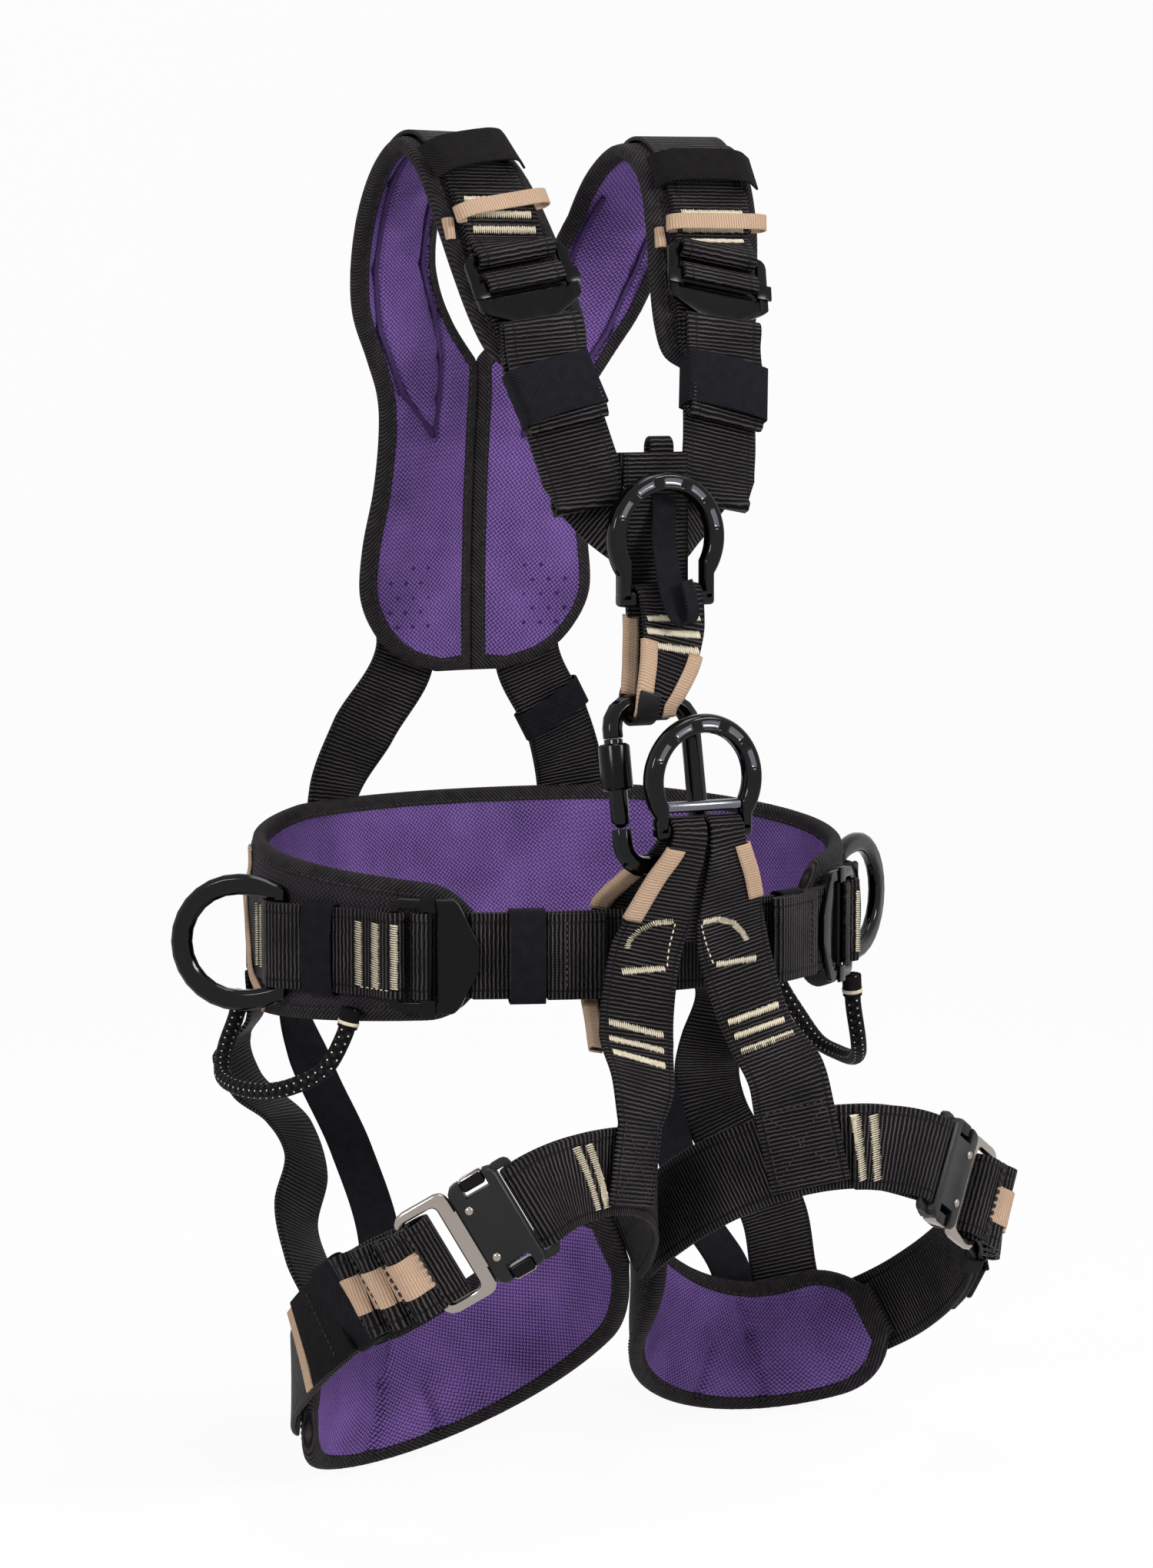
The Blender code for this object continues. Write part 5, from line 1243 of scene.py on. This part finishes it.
RISER_ARCHES = {
    "right": [
        [(0.2385, 0.0125), (0.2325, 0.0122), (0.2265, 0.0090), (0.2215, 0.0030), (0.2185, -0.0080)],
        [(0.2505, 0.0125), (0.2445, -0.0125)],
    ],
    "left": [
        [(0.0790, -0.0165), (0.0795, -0.0077), (0.0845, 0.0010), (0.0915, 0.0055), (0.0980, 0.0080)],
        [(0.1050, -0.0128), (0.1090, 0.0110)],
    ],
}
for word in ("right", "left"):
    tack_piece("riser_tacks_" + word, riser_ways[word], RISER_TACKS[word], FRONT, 0.0038)
    tack_piece("riser_arch_" + word, riser_ways[word], RISER_ARCHES[word], FRONT, 0.0034)
rows = bars((0.2530, 0.2600), -0.0175, 0.0175, -0.0115)
tack_piece("thigh_tacks_right", thigh_fronts["right"], rows, RIGHT_OUT, 0.0042)
rows = bars((0.2415, 0.2505), -0.0175, 0.0175, 0.0060)
tack_piece("thigh_tacks_left", thigh_fronts["left"], rows, FRONT, 0.0046)

STITCH_LIFT, RISER_STITCH, LOW_STITCH = 0.0013, (0.0036, 0.0026), (0.0036, 0.0024, 0.0007)
RISER_RUNS = {
    "right": ((0.2190, -0.0095), (0.2450, -0.0140)),
    "left": ((0.0795, -0.0175), (0.1050, -0.0140)),
}
bm = bmesh.new()
for word, (start, stop) in RISER_RUNS.items():
    running_stitch(bm, laid_line(riser_ways[word], start, stop, STITCH_LIFT, FRONT), *RISER_STITCH)
start, stop = (WAIST_TACKS[0], -0.0180), (WAIST_TACKS[-1], -0.0180)
running_stitch(bm, laid_line(waist_back, start, stop, STITCH_LIFT, RIGHT_OUT), *LOW_STITCH)
place_piece("riser_running_stitch", bm, [cream_thread])
BOX_HALF, BOX_START, BOX_STOP, BOX_STITCH = 0.0165, 0.0430, 0.0050, (0.0036, 0.0028, 0.0010)
lines = []
for word, way in riser_ways.items():
    near, far = way.length - BOX_START, way.length - BOX_STOP
    corners = [(near, -BOX_HALF), (far, -BOX_HALF), (far, BOX_HALF), (near, BOX_HALF)]
    for a, b in ((0, 1), (1, 2), (2, 3), (3, 0), (0, 2), (1, 3)):
        lines.append(laid_line(way, corners[a], corners[b], 0.0012, OUT_TO[word]))
stitch_piece("riser_foot_stitch", lines, black_thread, BOX_STITCH)

# Tan edge bindings: ribbed tape folded over the edges of the load-bearing webbing and sewn through as
# a wear marker, and flat marker tapes laid across the belt and the right thigh strap.
EDGE_WALL, EDGE_FOLD = 0.0009, 0.3
TAPE_LIFT, TAPE_ON_STRAP, TAPE_WALL, MARK_WIDTH = PAD_THICK / 2 + 0.0008, 0.0018, 0.0012, 0.0090
# Polyester grosgrain, tan, with close ribs
tan_tape = ribbed("tan_grosgrain_tape", "#a98d76", "#dcc0a8", 0.0015, 0.0003, 0.75, **MATT)


def bind_edge(name, way, start, stop, side, width):
    """Fold a tape over one edge of a strap between two distances along it."""
    rows = max(3, math.ceil((stop - start) / 0.0025))
    half = WEB_THICK / 2 + EDGE_WALL * 0.8

    def bend(n, f):
        s, f = start + (stop - start) * n / rows, f * 2
        point, along, across, strap = way.at(s)
        out = along.cross(across).normalized()
        turn = min(abs(f) / EDGE_FOLD, 1.0) * math.pi / 2
        flap = max(abs(f) - EDGE_FOLD, 0.0) / (1 - EDGE_FOLD) * width
        reach = strap / 2 + half * math.cos(turn) - flap
        return point + across * side * reach + out * math.copysign(half * math.sin(turn), f), (s, f * width)

    made = place_piece(name, bent_grid(rows, 10, bend), [tan_tape])
    thicken(made, EDGE_WALL)


for name, way, start, stop, side, width in (
    ("riser_edge_right_front", riser_ways["right"], 0.1795, 0.2220, 1, 0.0080),
    ("riser_edge_right_back", riser_ways["right"], 0.0860, 0.1270, 1, 0.0085),
    ("riser_edge_right_low", riser_ways["right"], 0.0, 0.0400, 1, 0.006),
    ("riser_edge_left", riser_ways["left"], 0.0390, 0.0730, 1, 0.0072),
    ("sternal_edge_right", sternal_way, 0.1520, 0.1890, 1, 0.0064),
    ("sternal_edge_left", sternal_way, 0.1520, 0.1900, -1, 0.0066),
    ("sternal_edge_back", sternal_way, 0.0860, 0.1320, -1, 0.0060),
):
    bind_edge(name, way, start, stop, side, width)
BELT_HIGH, BELT_LOW = [(0.171, 0.0450), (0.168, 0.0340)], [(0.144, -0.0320), (0.138, -0.0380)]
BELT_OVER = [(0.2285, 0.0225), (0.2245, 0.0080), (0.2190, -0.0080), (0.2120, -0.0225)]
THIGH_OVER = [(0.2960, 0.0225), (0.2965, 0.0100), (0.2975, -0.0080), (0.2990, -0.0225)]


def on_cloth(place, spots):
    laid = [place(s, c) for s, c in spots]
    return [(point + out * TAPE_LIFT, out.cross(UP)) for point, out in laid]


def over_strap(way, spots):
    return [(way.spot(s, c, TAPE_ON_STRAP, RIGHT_OUT), -way.at(s)[1]) for s, c in spots]


def marker_tape(name, stations):
    ribbon(name, Way(stations, MARK_WIDTH), None, tan_tape, TAPE_WALL, step=0.002, columns=2)


belt_mark = on_cloth(on_belt, BELT_HIGH) + over_strap(waist_back, BELT_OVER) + on_cloth(on_belt, BELT_LOW)
marker_tape("belt_marker_tape_right", belt_mark)
marker_tape("belt_marker_tape_left", on_side(belt_mark, -1))
marker_tape("thigh_marker_tape_right", over_strap(thigh_outers["right"], THIGH_OVER))

# Shoulder loops: a wide elastic band over each strap and a tan tape loop below it, sewn down at both ends,
# for accessories; both stand proud of the webbing. A tan tab shows at the strap's edge beside each loop.
SEWN_DOWN = [(1.0, 0.0), (0.92, 0.25), (0.8, 0.62), (0.6, 0.88), (0.3, 0.98)]
TUCKED = [(0.78, 0.10), (0.95, 0.16), (1.02, 0.45), (0.98, 0.75), (0.86, 0.93), (0.6, 1.0), (0.3, 1.0)]
BAND_RISE, LOOP_RISE, LOOP_WIDTH, BAND_LIFT, BAND_WALL = 0.0080, 0.0090, 0.0085, 0.0012, 0.0013
EDGE_TAB_WIDTH, EDGE_TAB_WALL = 0.0115, 0.0016
TAB_SHAPE = ((0.0272, -0.0026), (0.0296, -0.0022), (0.0312, -0.0030), (0.0316, -0.0050))
# Woven elastic, matt black
black_elastic = twill("black_elastic", "#070607", "#2d292c", 0.0021, 0.0005, 0.8, **MATT)


def band_over(name, way, s, width, half, slant, rise, end, material, slot):
    """Sew a band across a strap: held at both ends and proud of it between them."""
    shape = [(-f, up) for f, up in end] + [(0.0, 1.0)] + end[::-1]
    stations = []
    for f, up in shape:
        stations.append((way.spot(s + slant * f, half * f, BAND_LIFT + rise * up, FRONT), way.at(s)[1]))
    ribbon(name, Way(stations, width), None, material, BAND_WALL, slot, 0.0012)


wide_band = (BAND_RISE, SEWN_DOWN, black_elastic, "dark_elastic")
tan_loop = (LOOP_RISE, TUCKED, tan_tape, "black_webbing")
band_over("shoulder_band_right", shoulder_ways["right"], 0.2540, 0.024, 0.030, 0.005, *wide_band)
band_over("shoulder_band_left", shoulder_ways["left"], 0.2625, 0.022, 0.030, 0.0, *wide_band)
band_over("tan_loop_right", shoulder_ways["right"], 0.3562, LOOP_WIDTH, 0.028, -0.0047, *tan_loop)
band_over("tan_loop_left", shoulder_ways["left"], 0.3490, LOOP_WIDTH, 0.029, 0.0, *tan_loop)
for word, side, s in (("right", 1, 0.3470), ("left", -1, 0.3440)):
    way = shoulder_ways[word]
    tab = [(way.spot(s, side * c, lift, FRONT), way.at(s)[1]) for c, lift in TAB_SHAPE]
    ribbon("tan_tab_" + word, Way(tab, EDGE_TAB_WIDTH), None, tan_tape, EDGE_TAB_WALL, step=0.001, columns=3)

# Cord ends: each end of a gear loop is wrapped in twill tape and held to the belt's pad by a cream
# tack round the wrap.
WRAP_WALL, TACK_WALL = 0.0009, 0.0013
for word, path in cord_paths.items():
    for end, line in (("front", path[:8]), ("back", path[::-1][:8])):
        tube(f"cord_wrap_{end}_{word}", line, CORD_THICK / 2 + WRAP_WALL, twill_tape)
        tube(f"cord_tack_{end}_{word}", line[5:7], CORD_THICK / 2 + TACK_WALL, cream_thread)

# Spare tails: the free ends of the chest webs and the waist webbing, rolled or hemmed, stitched across and
# held under the elastic keepers.
CHEST_ROLL = [
    (0.0700, 0.0036), (0.0985, 0.0036), (0.1004, 0.0042), (0.1010, 0.0055), (0.1004, 0.0068),
    (0.0985, 0.0074), (0.0740, 0.0074), (0.0580, 0.0086), (0.0480, 0.0100), (0.0450, 0.0098),
    (0.0434, 0.0082), (0.0440, 0.0062), (0.0470, 0.0050), (0.0560, 0.0036), (0.0660, 0.0034),
]
HEM_RIGHT = [
    (0.2225, 0.0086), (0.2060, 0.0096), (0.1958, 0.0098), (0.1940, 0.0090), (0.1934, 0.0068),
    (0.1940, 0.0044), (0.1958, 0.0034), (0.2100, 0.0030), (0.2450, 0.0030), (0.2600, 0.0030),
]
HEM_LEFT = [
    (0.0300, 0.0030), (0.0500, 0.0036), (0.0700, 0.0052), (0.0860, 0.0078), (0.0905, 0.0086),
    (0.0924, 0.0096), (0.0928, 0.0112), (0.0910, 0.0124), (0.0860, 0.0122), (0.0700, 0.0102),
    (0.0560, 0.0084),
]
FORWARD, HEM_HALF, HEM_STITCH = Vector((0, -1, 0)), 0.0190, (0.0032, 0.0025, 0.0018)


def laid_on(way, line, toward):
    """Stations of a strap that lies on another: distances along it and lifts off its middle."""
    return [(way.spot(s, 0.0, lift, toward), way.at(s)[2]) for s, lift in line]


for word, way in chest_ways.items():
    ribbon("chest_tail_" + word, Way(laid_on(way, CHEST_ROLL, FRONT)), step=0.0015)
lines = []
for word, hem, toward, s, lift in (
    ("right", HEM_RIGHT, FORWARD, 0.2130, 0.0105),
    ("left", HEM_LEFT, LEFT_OUT, 0.0610, 0.0103),
):
    ribbon("waist_tail_" + word, Way(laid_on(waist_front, hem, toward)), step=0.0015)
    lines.append(laid_line(waist_front, (s, -HEM_HALF), (s, HEM_HALF), lift, toward))
stitch_piece("waist_tail_stitch", lines, black_thread, HEM_STITCH)

# Chest fittings: a webbing tab over the chest band, and an elastic strap that hangs through the front ring
# and ends in a twisted loop, to park the ring out of the way.
TAB_X, TAB_WIDTH, PARK_WALL = 0.0098, 0.0135, 0.0013
BAND_TAB = [
    (-0.0820, 0.2400), (-0.0818, 0.2580), (-0.0826, 0.2630), (-0.0852, 0.2652), (-0.0880, 0.2630),
    (-0.0886, 0.2580), (-0.0880, 0.2400),
]
PARK = [
    (0.0038, -0.1010, 0.2360, 0.0140), (0.0020, -0.1050, 0.2240, 0.0140),
    (-0.0010, -0.1100, 0.2140, 0.0145), (-0.0030, -0.1160, 0.2050, 0.0150),
    (-0.0040, -0.1220, 0.1930, 0.0165), (-0.0030, -0.1245, 0.1830, 0.0165),
    (-0.0010, -0.1255, 0.1760, 0.0150), (0.0020, -0.1265, 0.1715, 0.0120),
    (0.0045, -0.1280, 0.1712, 0.0100), (0.0058, -0.1290, 0.1745, 0.0100),
    (0.0050, -0.1285, 0.1830, 0.0110), (0.0030, -0.1270, 0.1930, 0.0110),
]
ribbon("band_tab", way_through([(TAB_X, y, z, TAB_WIDTH) for y, z in BAND_TAB]), step=0.0015)
stations = [(Vector((x, y, z)), Vector((1, 0.05 * n, 0))) for n, (x, y, z, w) in enumerate(PARK)]
park_way = Way(stations, [w for x, y, z, w in PARK])
ribbon("ring_parking_elastic", park_way, None, navy_elastic, PARK_WALL, "dark_elastic", 0.002, 3)

# Leg details: on each outer strap's tail a ladder of tan tape loops on raised webbing, stitched down
# between the loops, then an elastic keeper and a hook-and-loop patch with a taped rim.
LADDER_START, LADDER_STEP, LADDER_RISE, LADDER_LOOPS = 0.1905, 0.0158, 0.0058, 3
LADDER_SHAPE = ((0.0, 0.0), (0.13, 0.0), (0.24, 0.65), (0.40, 1.0), (0.62, 1.0), (0.77, 0.65), (0.88, 0.0))
LADDER_WIDTH, ON_STRAP, ON_LADDER = 0.0200, 0.0030, 0.0021
PATCH_FROM, PATCH_TO, PATCH_WIDTH, PATCH_WALL = 0.2525, 0.2890, 0.0460, 0.0030
RIM_AT, RIM_RADIUS, RIM_HALF, RIM_LIFT, PATCH_SEAM = 0.2532, 0.0013, 0.0225, 0.0016, 0.2660
LADDER_HALF, LADDER_LIFT, LADDER_STITCH = 0.0205, 0.0061, (0.0040, 0.0031, 0.0021)
PATCH_HALF, PATCH_LIFT, PATCH_STITCH = 0.0190, 0.0047, (0.0034, 0.0026, 0.0010)
THIGH_KEEPER_AT, THIGH_KEEPER = 0.2440, (0.0165, 0.0090, -0.0003)
for word, toward in (("right", Vector((-0.8, -0.6, 0.0))), ("left", Vector((0.8, -0.6, 0.0)))):
    way = thigh_outers[word]
    bumps = []
    for n in range(LADDER_LOOPS):
        for f, high in LADDER_SHAPE:
            bumps.append((LADDER_START + LADDER_STEP * (n + f), ON_STRAP + LADDER_RISE * high))
    bumps.append((LADDER_START + LADDER_STEP * LADDER_LOOPS, ON_STRAP))
    ribbon("ladder_webbing_" + word, Way(laid_on(way, bumps, toward)), step=0.0012)
    loops = [(s, lift + ON_LADDER) for s, lift in bumps]
    tape = Way(laid_on(way, loops, toward), LADDER_WIDTH)
    ribbon("ladder_tape_" + word, tape, None, tan_tape, TAPE_WALL, step=0.0012)
    patch = Way(laid_on(way, [(PATCH_FROM, ON_STRAP), (PATCH_TO, ON_STRAP)], toward), PATCH_WIDTH)
    ribbon("hook_patch_" + word, patch, None, black_elastic, PATCH_WALL, step=0.0015)
    rim = [way.spot(RIM_AT, c, ON_STRAP + RIM_LIFT, toward) for c in np.linspace(-RIM_HALF, RIM_HALF, 9)]
    tube("hook_patch_rim_" + word, rim, RIM_RADIUS, twill_tape, 10)
    bm = bmesh.new()
    for n in range(LADDER_LOOPS + 1):
        s = LADDER_START + LADDER_STEP * n
        row = laid_line(way, (s, -LADDER_HALF), (s, LADDER_HALF), LADDER_LIFT, toward)
        running_stitch(bm, row, *LADDER_STITCH)
    seam = laid_line(way, (PATCH_SEAM, -PATCH_HALF), (PATCH_SEAM, PATCH_HALF), PATCH_LIFT, toward)
    running_stitch(bm, seam, *PATCH_STITCH)
    place_piece("ladder_stitch_" + word, bm, [black_thread])
    keeper_on("thigh_elastic_" + word, way, THIGH_KEEPER_AT, toward, *THIGH_KEEPER)

# Strap protector: a sleeve of moulded nylon, slipped over the loop of the sternal strap that holds the
# carabiner, which keeps the strap from chafing.
PROTECTOR_WIDTH, PROTECTOR_WALL, PROTECTOR_LIFT, PROTECTOR_SIDE = 0.0125, 0.0016, 0.0026, 0.0060
PROTECTOR_REACH = 0.004


def hard(name, colour, metallic, roughness, scuffs_and_sheen, gloss):
    """A hard finish with faint scuffs in its roughness."""
    made, tree = new_finish(name)
    where = add(tree, "TexCoord")
    cloud = add(tree, "TexNoise", {"Vector": where.outputs["Object"], "Scale": 90.0, "Detail": 4.0})
    span = {1: 0.3, 2: 0.7, 3: roughness - scuffs_and_sheen, 4: roughness + scuffs_and_sheen}
    rough = add(tree, "MapRange", {0: cloud, **span})
    shine = {"Metallic": metallic, "Specular IOR Level": gloss}
    surface(tree, tint(colour), cloud, 0.00002, rough, **shine)
    return made


# Moulded nylon, matt black from the tool's grain
black_nylon = hard("black_moulded_nylon", "#0a0a0b", 0.0, 0.5, 0.06, 0.2)
spots = np.linspace(0, sternal_way.length, 400)
low_turn = [s for s in spots if sternal_way.at(s)[0].z < CARABINER_TOP.z + PROTECTOR_REACH]
stations = []
for s in np.linspace(low_turn[0], low_turn[-1], 14):
    point, along, across, width = sternal_way.at(s)
    out = (point - CARABINER_TOP).normalized()
    stations.append((point + out * PROTECTOR_LIFT - across * PROTECTOR_SIDE, across))
sleeve = Way(stations, PROTECTOR_WIDTH)
ribbon("strap_protector", sleeve, None, black_nylon, PROTECTOR_WALL, "moulded_nylon", 0.0015)

# Forged rings and carabiner: black anodised aluminium, drop forged and tumbled to soft edges, with
# pockets in the rings' faces; each turns in the webbing sewn round its bar. The carabiner's sleeve is
# plated steel, and the plate behind the rear ring is moulded nylon.
RING_BAND, RING_THICK, RING_FOOT, RING_LEG, RING_BAR = 0.010, 0.009, 0.02775, 0.0065, 0.008
RING_STEPS, BAR_ROUND, BRIDGE_THICK = 120, 0.0022, 0.0065
POCKETS, POCKET_SPAN, POCKET_DEEP, POCKET_FLOOR = (150.0, 117.0, 84.0, 51.0, 18.0), 11.0, 0.0016, (5, 6)
RING_SECTION = [
    (0.0, 0.0), (0.03, 0.5), (0.11, 0.88), (0.20, 1.0), (0.26, 1.0), (0.30, 1.0), (0.70, 1.0),
    (0.74, 1.0), (0.80, 1.0), (0.89, 0.88), (0.97, 0.5), (1.0, 0.0), (0.97, -0.5), (0.89, -0.88),
    (0.80, -1.0), (0.20, -1.0), (0.11, -0.88), (0.03, -0.5),
]
SIDE_RING_RADIUS, SIDE_RING_REACH, SIDE_RING_SWING = 0.0365, 0.022, math.radians(46.0)
# Black anodised aluminium: a dark glossy oxide over the metal, left bare and grey in the pockets
black_anodised = hard("black_anodised_aluminium", "#030303", 0.0, 0.10, 0.03, 0.22)
gunmetal = hard("gunmetal_forging", "#6a6a70", 1.0, 0.22, 0.06, 0.5)
# Plated steel: a thin black layer that keeps some of the polish below it
black_plated = hard("black_plated_steel", "#050506", 0.0, 0.16, 0.05, 0.14)


def body_of(node):
    return node + "_body" if node + "_body" in frame["bodies"] else "harness"


def made_from(name, node, materials, radius, shape=None):
    """A finished copy of a stiff piece of the model: merged, its edges rounded, on the same body."""
    source = frame["nodes"][node]
    bm = bmesh.new()
    bm.from_mesh(source.data)
    bm.transform(source.matrix_world)
    bmesh.ops.remove_doubles(bm, verts=bm.verts, dist=2e-6)
    bmesh.ops.dissolve_limit(bm, angle_limit=math.radians(2), verts=bm.verts, edges=bm.edges)
    if shape:
        shape(bm)
    made = place_piece(name, bm, materials, body_of(node))
    round_edges(made, radius, 3, 25)
    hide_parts(node)


def cross_bar(bm, width, low, high, thick, index):
    """A rounded bar from leg to leg of a ring."""
    made = bmesh.ops.create_cube(bm, size=1.0)["verts"]
    bmesh.ops.scale(bm, vec=(width, thick, high - low), verts=made)
    bmesh.ops.translate(bm, vec=(0, 0, (low + high) / 2), verts=made)
    edges = list({e for v in made for e in v.link_edges})
    for face in {face for v in made for face in v.link_faces}:
        face.material_index = index
    bmesh.ops.bevel(bm, geom=edges, offset=BAR_ROUND, segments=3, profile=0.5, affect="EDGES", material=-1)


def forged_ring(node, bar, up, front, radius, rise, bridge=None):
    """A forged ring: a bow with shallow pockets in its face, two legs and the bar for its strap."""
    inner, foot = radius - RING_BAND, RING_FOOT - RING_LEG
    lean_out, lean_in = math.acos(RING_FOOT / radius), math.acos(foot / inner)
    join_out, join_in = rise - radius * math.sin(lean_out), rise - inner * math.sin(lean_in)
    leg = [((-RING_FOOT, join_out * f), (-foot, join_in * f), None) for f in (0.0, 0.3, 0.6, 0.85)]
    path = list(leg)
    for n in range(RING_STEPS + 1):
        a = math.pi + lean_out - (math.pi + 2 * lean_out) * n / RING_STEPS
        b = math.pi + lean_in - (math.pi + 2 * lean_in) * n / RING_STEPS
        outside = (radius * math.cos(a), rise + radius * math.sin(a))
        inside = (inner * math.cos(b), rise + inner * math.sin(b))
        path.append((outside, inside, math.degrees(a)))
    path += [((-a[0], a[1]), (-b[0], b[1]), None) for a, b, c in leg[::-1]]
    bm = bmesh.new()
    around, last = len(RING_SECTION), len(path) - 1
    bmesh.ops.create_grid(bm, x_segments=last, y_segments=around, size=0.5)
    sunk = set()
    for v in bm.verts:
        n, m = round((v.co.x + 0.5) * last), round((v.co.y + 0.5) * around) % around
        (x0, z0), (x1, z1), angle = path[n]
        share, face = RING_SECTION[m]
        y = -face * RING_THICK / 2
        if m in POCKET_FLOOR and angle is not None and any(abs(angle - p) < POCKET_SPAN for p in POCKETS):
            y += POCKET_DEEP
            sunk.add(v)
        v.co = (x0 + (x1 - x0) * share, y, z0 + (z1 - z0) * share)
    for face in bm.faces:
        face.material_index = 1 if len(sunk.intersection(face.verts)) == 4 else 0
    bmesh.ops.remove_doubles(bm, verts=bm.verts, dist=1e-6)
    bmesh.ops.holes_fill(bm, edges=[e for e in bm.edges if e.is_boundary], sides=around)
    cross_bar(bm, RING_FOOT * 2, -RING_BAR / 2, RING_BAR / 2, RING_THICK, 0)
    if bridge:
        cross_bar(bm, foot * 2 + 0.003, bridge[0], bridge[1], BRIDGE_THICK, 1)
    bmesh.ops.recalc_face_normals(bm, faces=bm.faces)
    stand = Matrix((up.cross(front), -front, up)).transposed().to_4x4()
    stand.translation = bar
    bm.transform(stand)
    made = place_piece(node + "_forged", bm, [black_anodised, gunmetal], body_of(node))
    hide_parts(node)


def close_circle(seat):
    """Bend the straight arms of a side ring in toward the belt, so that it reads as a circle."""
    def shape(bm):
        for u in (0.002, 0.007, 0.012, 0.017):
            place = seat.point(u, 0, 0)
            bmesh.ops.bisect_plane(bm, geom=all_of(bm), plane_co=place, plane_no=seat.u, dist=1e-6)
        for v in bm.verts:
            short = max(SIDE_RING_REACH - (v.co - seat.origin).dot(seat.u), 0.0) / SIDE_RING_RADIUS
            height = (v.co - seat.origin).dot(seat.v)
            v.co -= seat.v * height * (1 - math.sqrt(max(1 - 0.75 * short * short, 0.0)))
    return shape


forged_ring("sternal_ring", STERNAL_BAR, UP, FORWARD, 0.0342, 0.0315)
forged_ring("ventral_ring", VENTRAL_BAR, UP, FORWARD, 0.0340, 0.0260, (0.0095, 0.0152))
forged_ring("dorsal_ring", dorsal_bar, dorsal_seat.u, dorsal_seat.w, 0.033, 0.024)
point, along, across, out = BELT.axes(SIDE_RING_ANGLE)
reach = out * math.cos(SIDE_RING_SWING) - along * math.sin(SIDE_RING_SWING)
side_seat = Seat(point + out * (PAD_THICK / 2 + LAYER_GAP + RING_BAR / 2), reach, reach.cross(UP))
for word in SIDES:
    node, shape = "side_ring_" + word, close_circle(side_seat.on(word))
    made_from(node + "_forged", node, [black_anodised], 0.0016, shape)
for node in ("carabiner_body", "carabiner_gate"):
    made_from(node + "_forged", node, [black_anodised], 0.0006)
made_from("carabiner_sleeve_turned", "carabiner_sleeve", [black_plated], 0.0004)
made_from("dorsal_plate_moulded", "dorsal_plate", [black_nylon], 0.0006)

# Adjusters and leg buckles: stamped and plated steel, the adjusters with a blunt six-sided shield, the
# buckles with two bright rivets, bright latch tips and a polished frame.
SHIELD_FROM, SHIELD_TO, SHIELD_FLAT, SHIELD_CUT, SHIELD_LIFT = 0.006, 0.021, 0.007, 0.012, 0.0015
RIVET_U, RIVET_V, RIVET_RADIUS, RIVET_FLAT, HOUSING_TOP = 0.0120, 0.0135, 0.0024, 0.55, 0.0055
LATCH_ROOM, LATCH_END, LATCH_TIP = 0.0004, 0.0008, 0.0262
# Polished stainless steel, and a powder coat that scatters what it reflects
polished = hard("polished_stainless_steel", "#9d958e", 1.0, 0.16, 0.05, 0.5)
black_powder = hard("black_powder_coat", "#0a0a0b", 0.0, 0.42, 0.06, 0.3)


def share_of(value, low, high):
    return min(max((value - low) / (high - low), 0.0), 1.0)


def point_shield(seat, reach):
    """Turn the square end of an adjuster's shield into a blunt point, bent a little outward."""
    def shape(bm):
        for v in (-SHIELD_FLAT, SHIELD_FLAT):
            place = seat.point(0, v, 0)
            bmesh.ops.bisect_plane(bm, geom=all_of(bm), plane_co=place, plane_no=seat.v, dist=1e-6)
        for v in bm.verts:
            place = v.co - seat.origin
            share = share_of(place.dot(seat.u), SHIELD_FROM, SHIELD_TO)
            corner = share_of(abs(place.dot(seat.v)), SHIELD_FLAT, ADJUSTER_WIDTH / 2)
            v.co += seat.u * share * (reach - SHIELD_CUT * corner) + seat.w * share * SHIELD_LIFT
    return shape


def bright_tip(seat):
    """Leave the outer tip of a latch bare metal, and a hair of room between its inner end and the stop."""
    def shape(bm):
        inner = min(abs((v.co - seat.origin).dot(seat.v)) for v in bm.verts)
        for v in bm.verts:
            across = (v.co - seat.origin).dot(seat.v)
            if abs(across) < inner + LATCH_END:
                v.co += seat.v * math.copysign(LATCH_ROOM, across)
        for face in bm.faces:
            if abs((face.calc_center_median() - seat.origin).dot(seat.v)) > LATCH_TIP:
                face.material_index = 1
    return shape


for place, left_seat, reach in (("waist", waist_seat, 0.005), ("shoulder", shoulder_seat, 0.001)):
    for word in SIDES:
        node = f"{place}_adjuster_{word}"
        shape = point_shield(left_seat.on(word), reach)
        made_from(node + "_frame_steel", node + "_frame", [black_plated], 0.0006, shape)
        made_from(node + "_slider_steel", node + "_slider", [black_plated], 0.0006)
for word in SIDES:
    seat = leg_seat.on(word)
    buckle = "leg_buckle_" + word
    made_from(buckle + "_housing_steel", buckle + "_housing", [black_powder], 0.0005)
    for latch in ("_upper_latch", "_lower_latch"):
        node, metals = buckle + latch, [black_plated, polished]
        made_from(node + "_steel", node, metals, 0.0005, bright_tip(seat))
    bm = bmesh.new()
    for v in (-RIVET_V, RIVET_V):
        stand = Matrix((seat.u, seat.v, seat.w * RIVET_FLAT)).transposed().to_4x4()
        stand.translation = seat.point(RIVET_U, v, HOUSING_TOP)
        bmesh.ops.create_uvsphere(bm, u_segments=16, v_segments=8, radius=RIVET_RADIUS, matrix=stand)
    bmesh.ops.recalc_face_normals(bm, faces=bm.faces)
    place_piece("rivets_" + word, bm, [polished], body_of(buckle + "_housing"))
    made_from(buckle + "_tongue_polished", buckle + "_tongue", [polished], 0.0007)
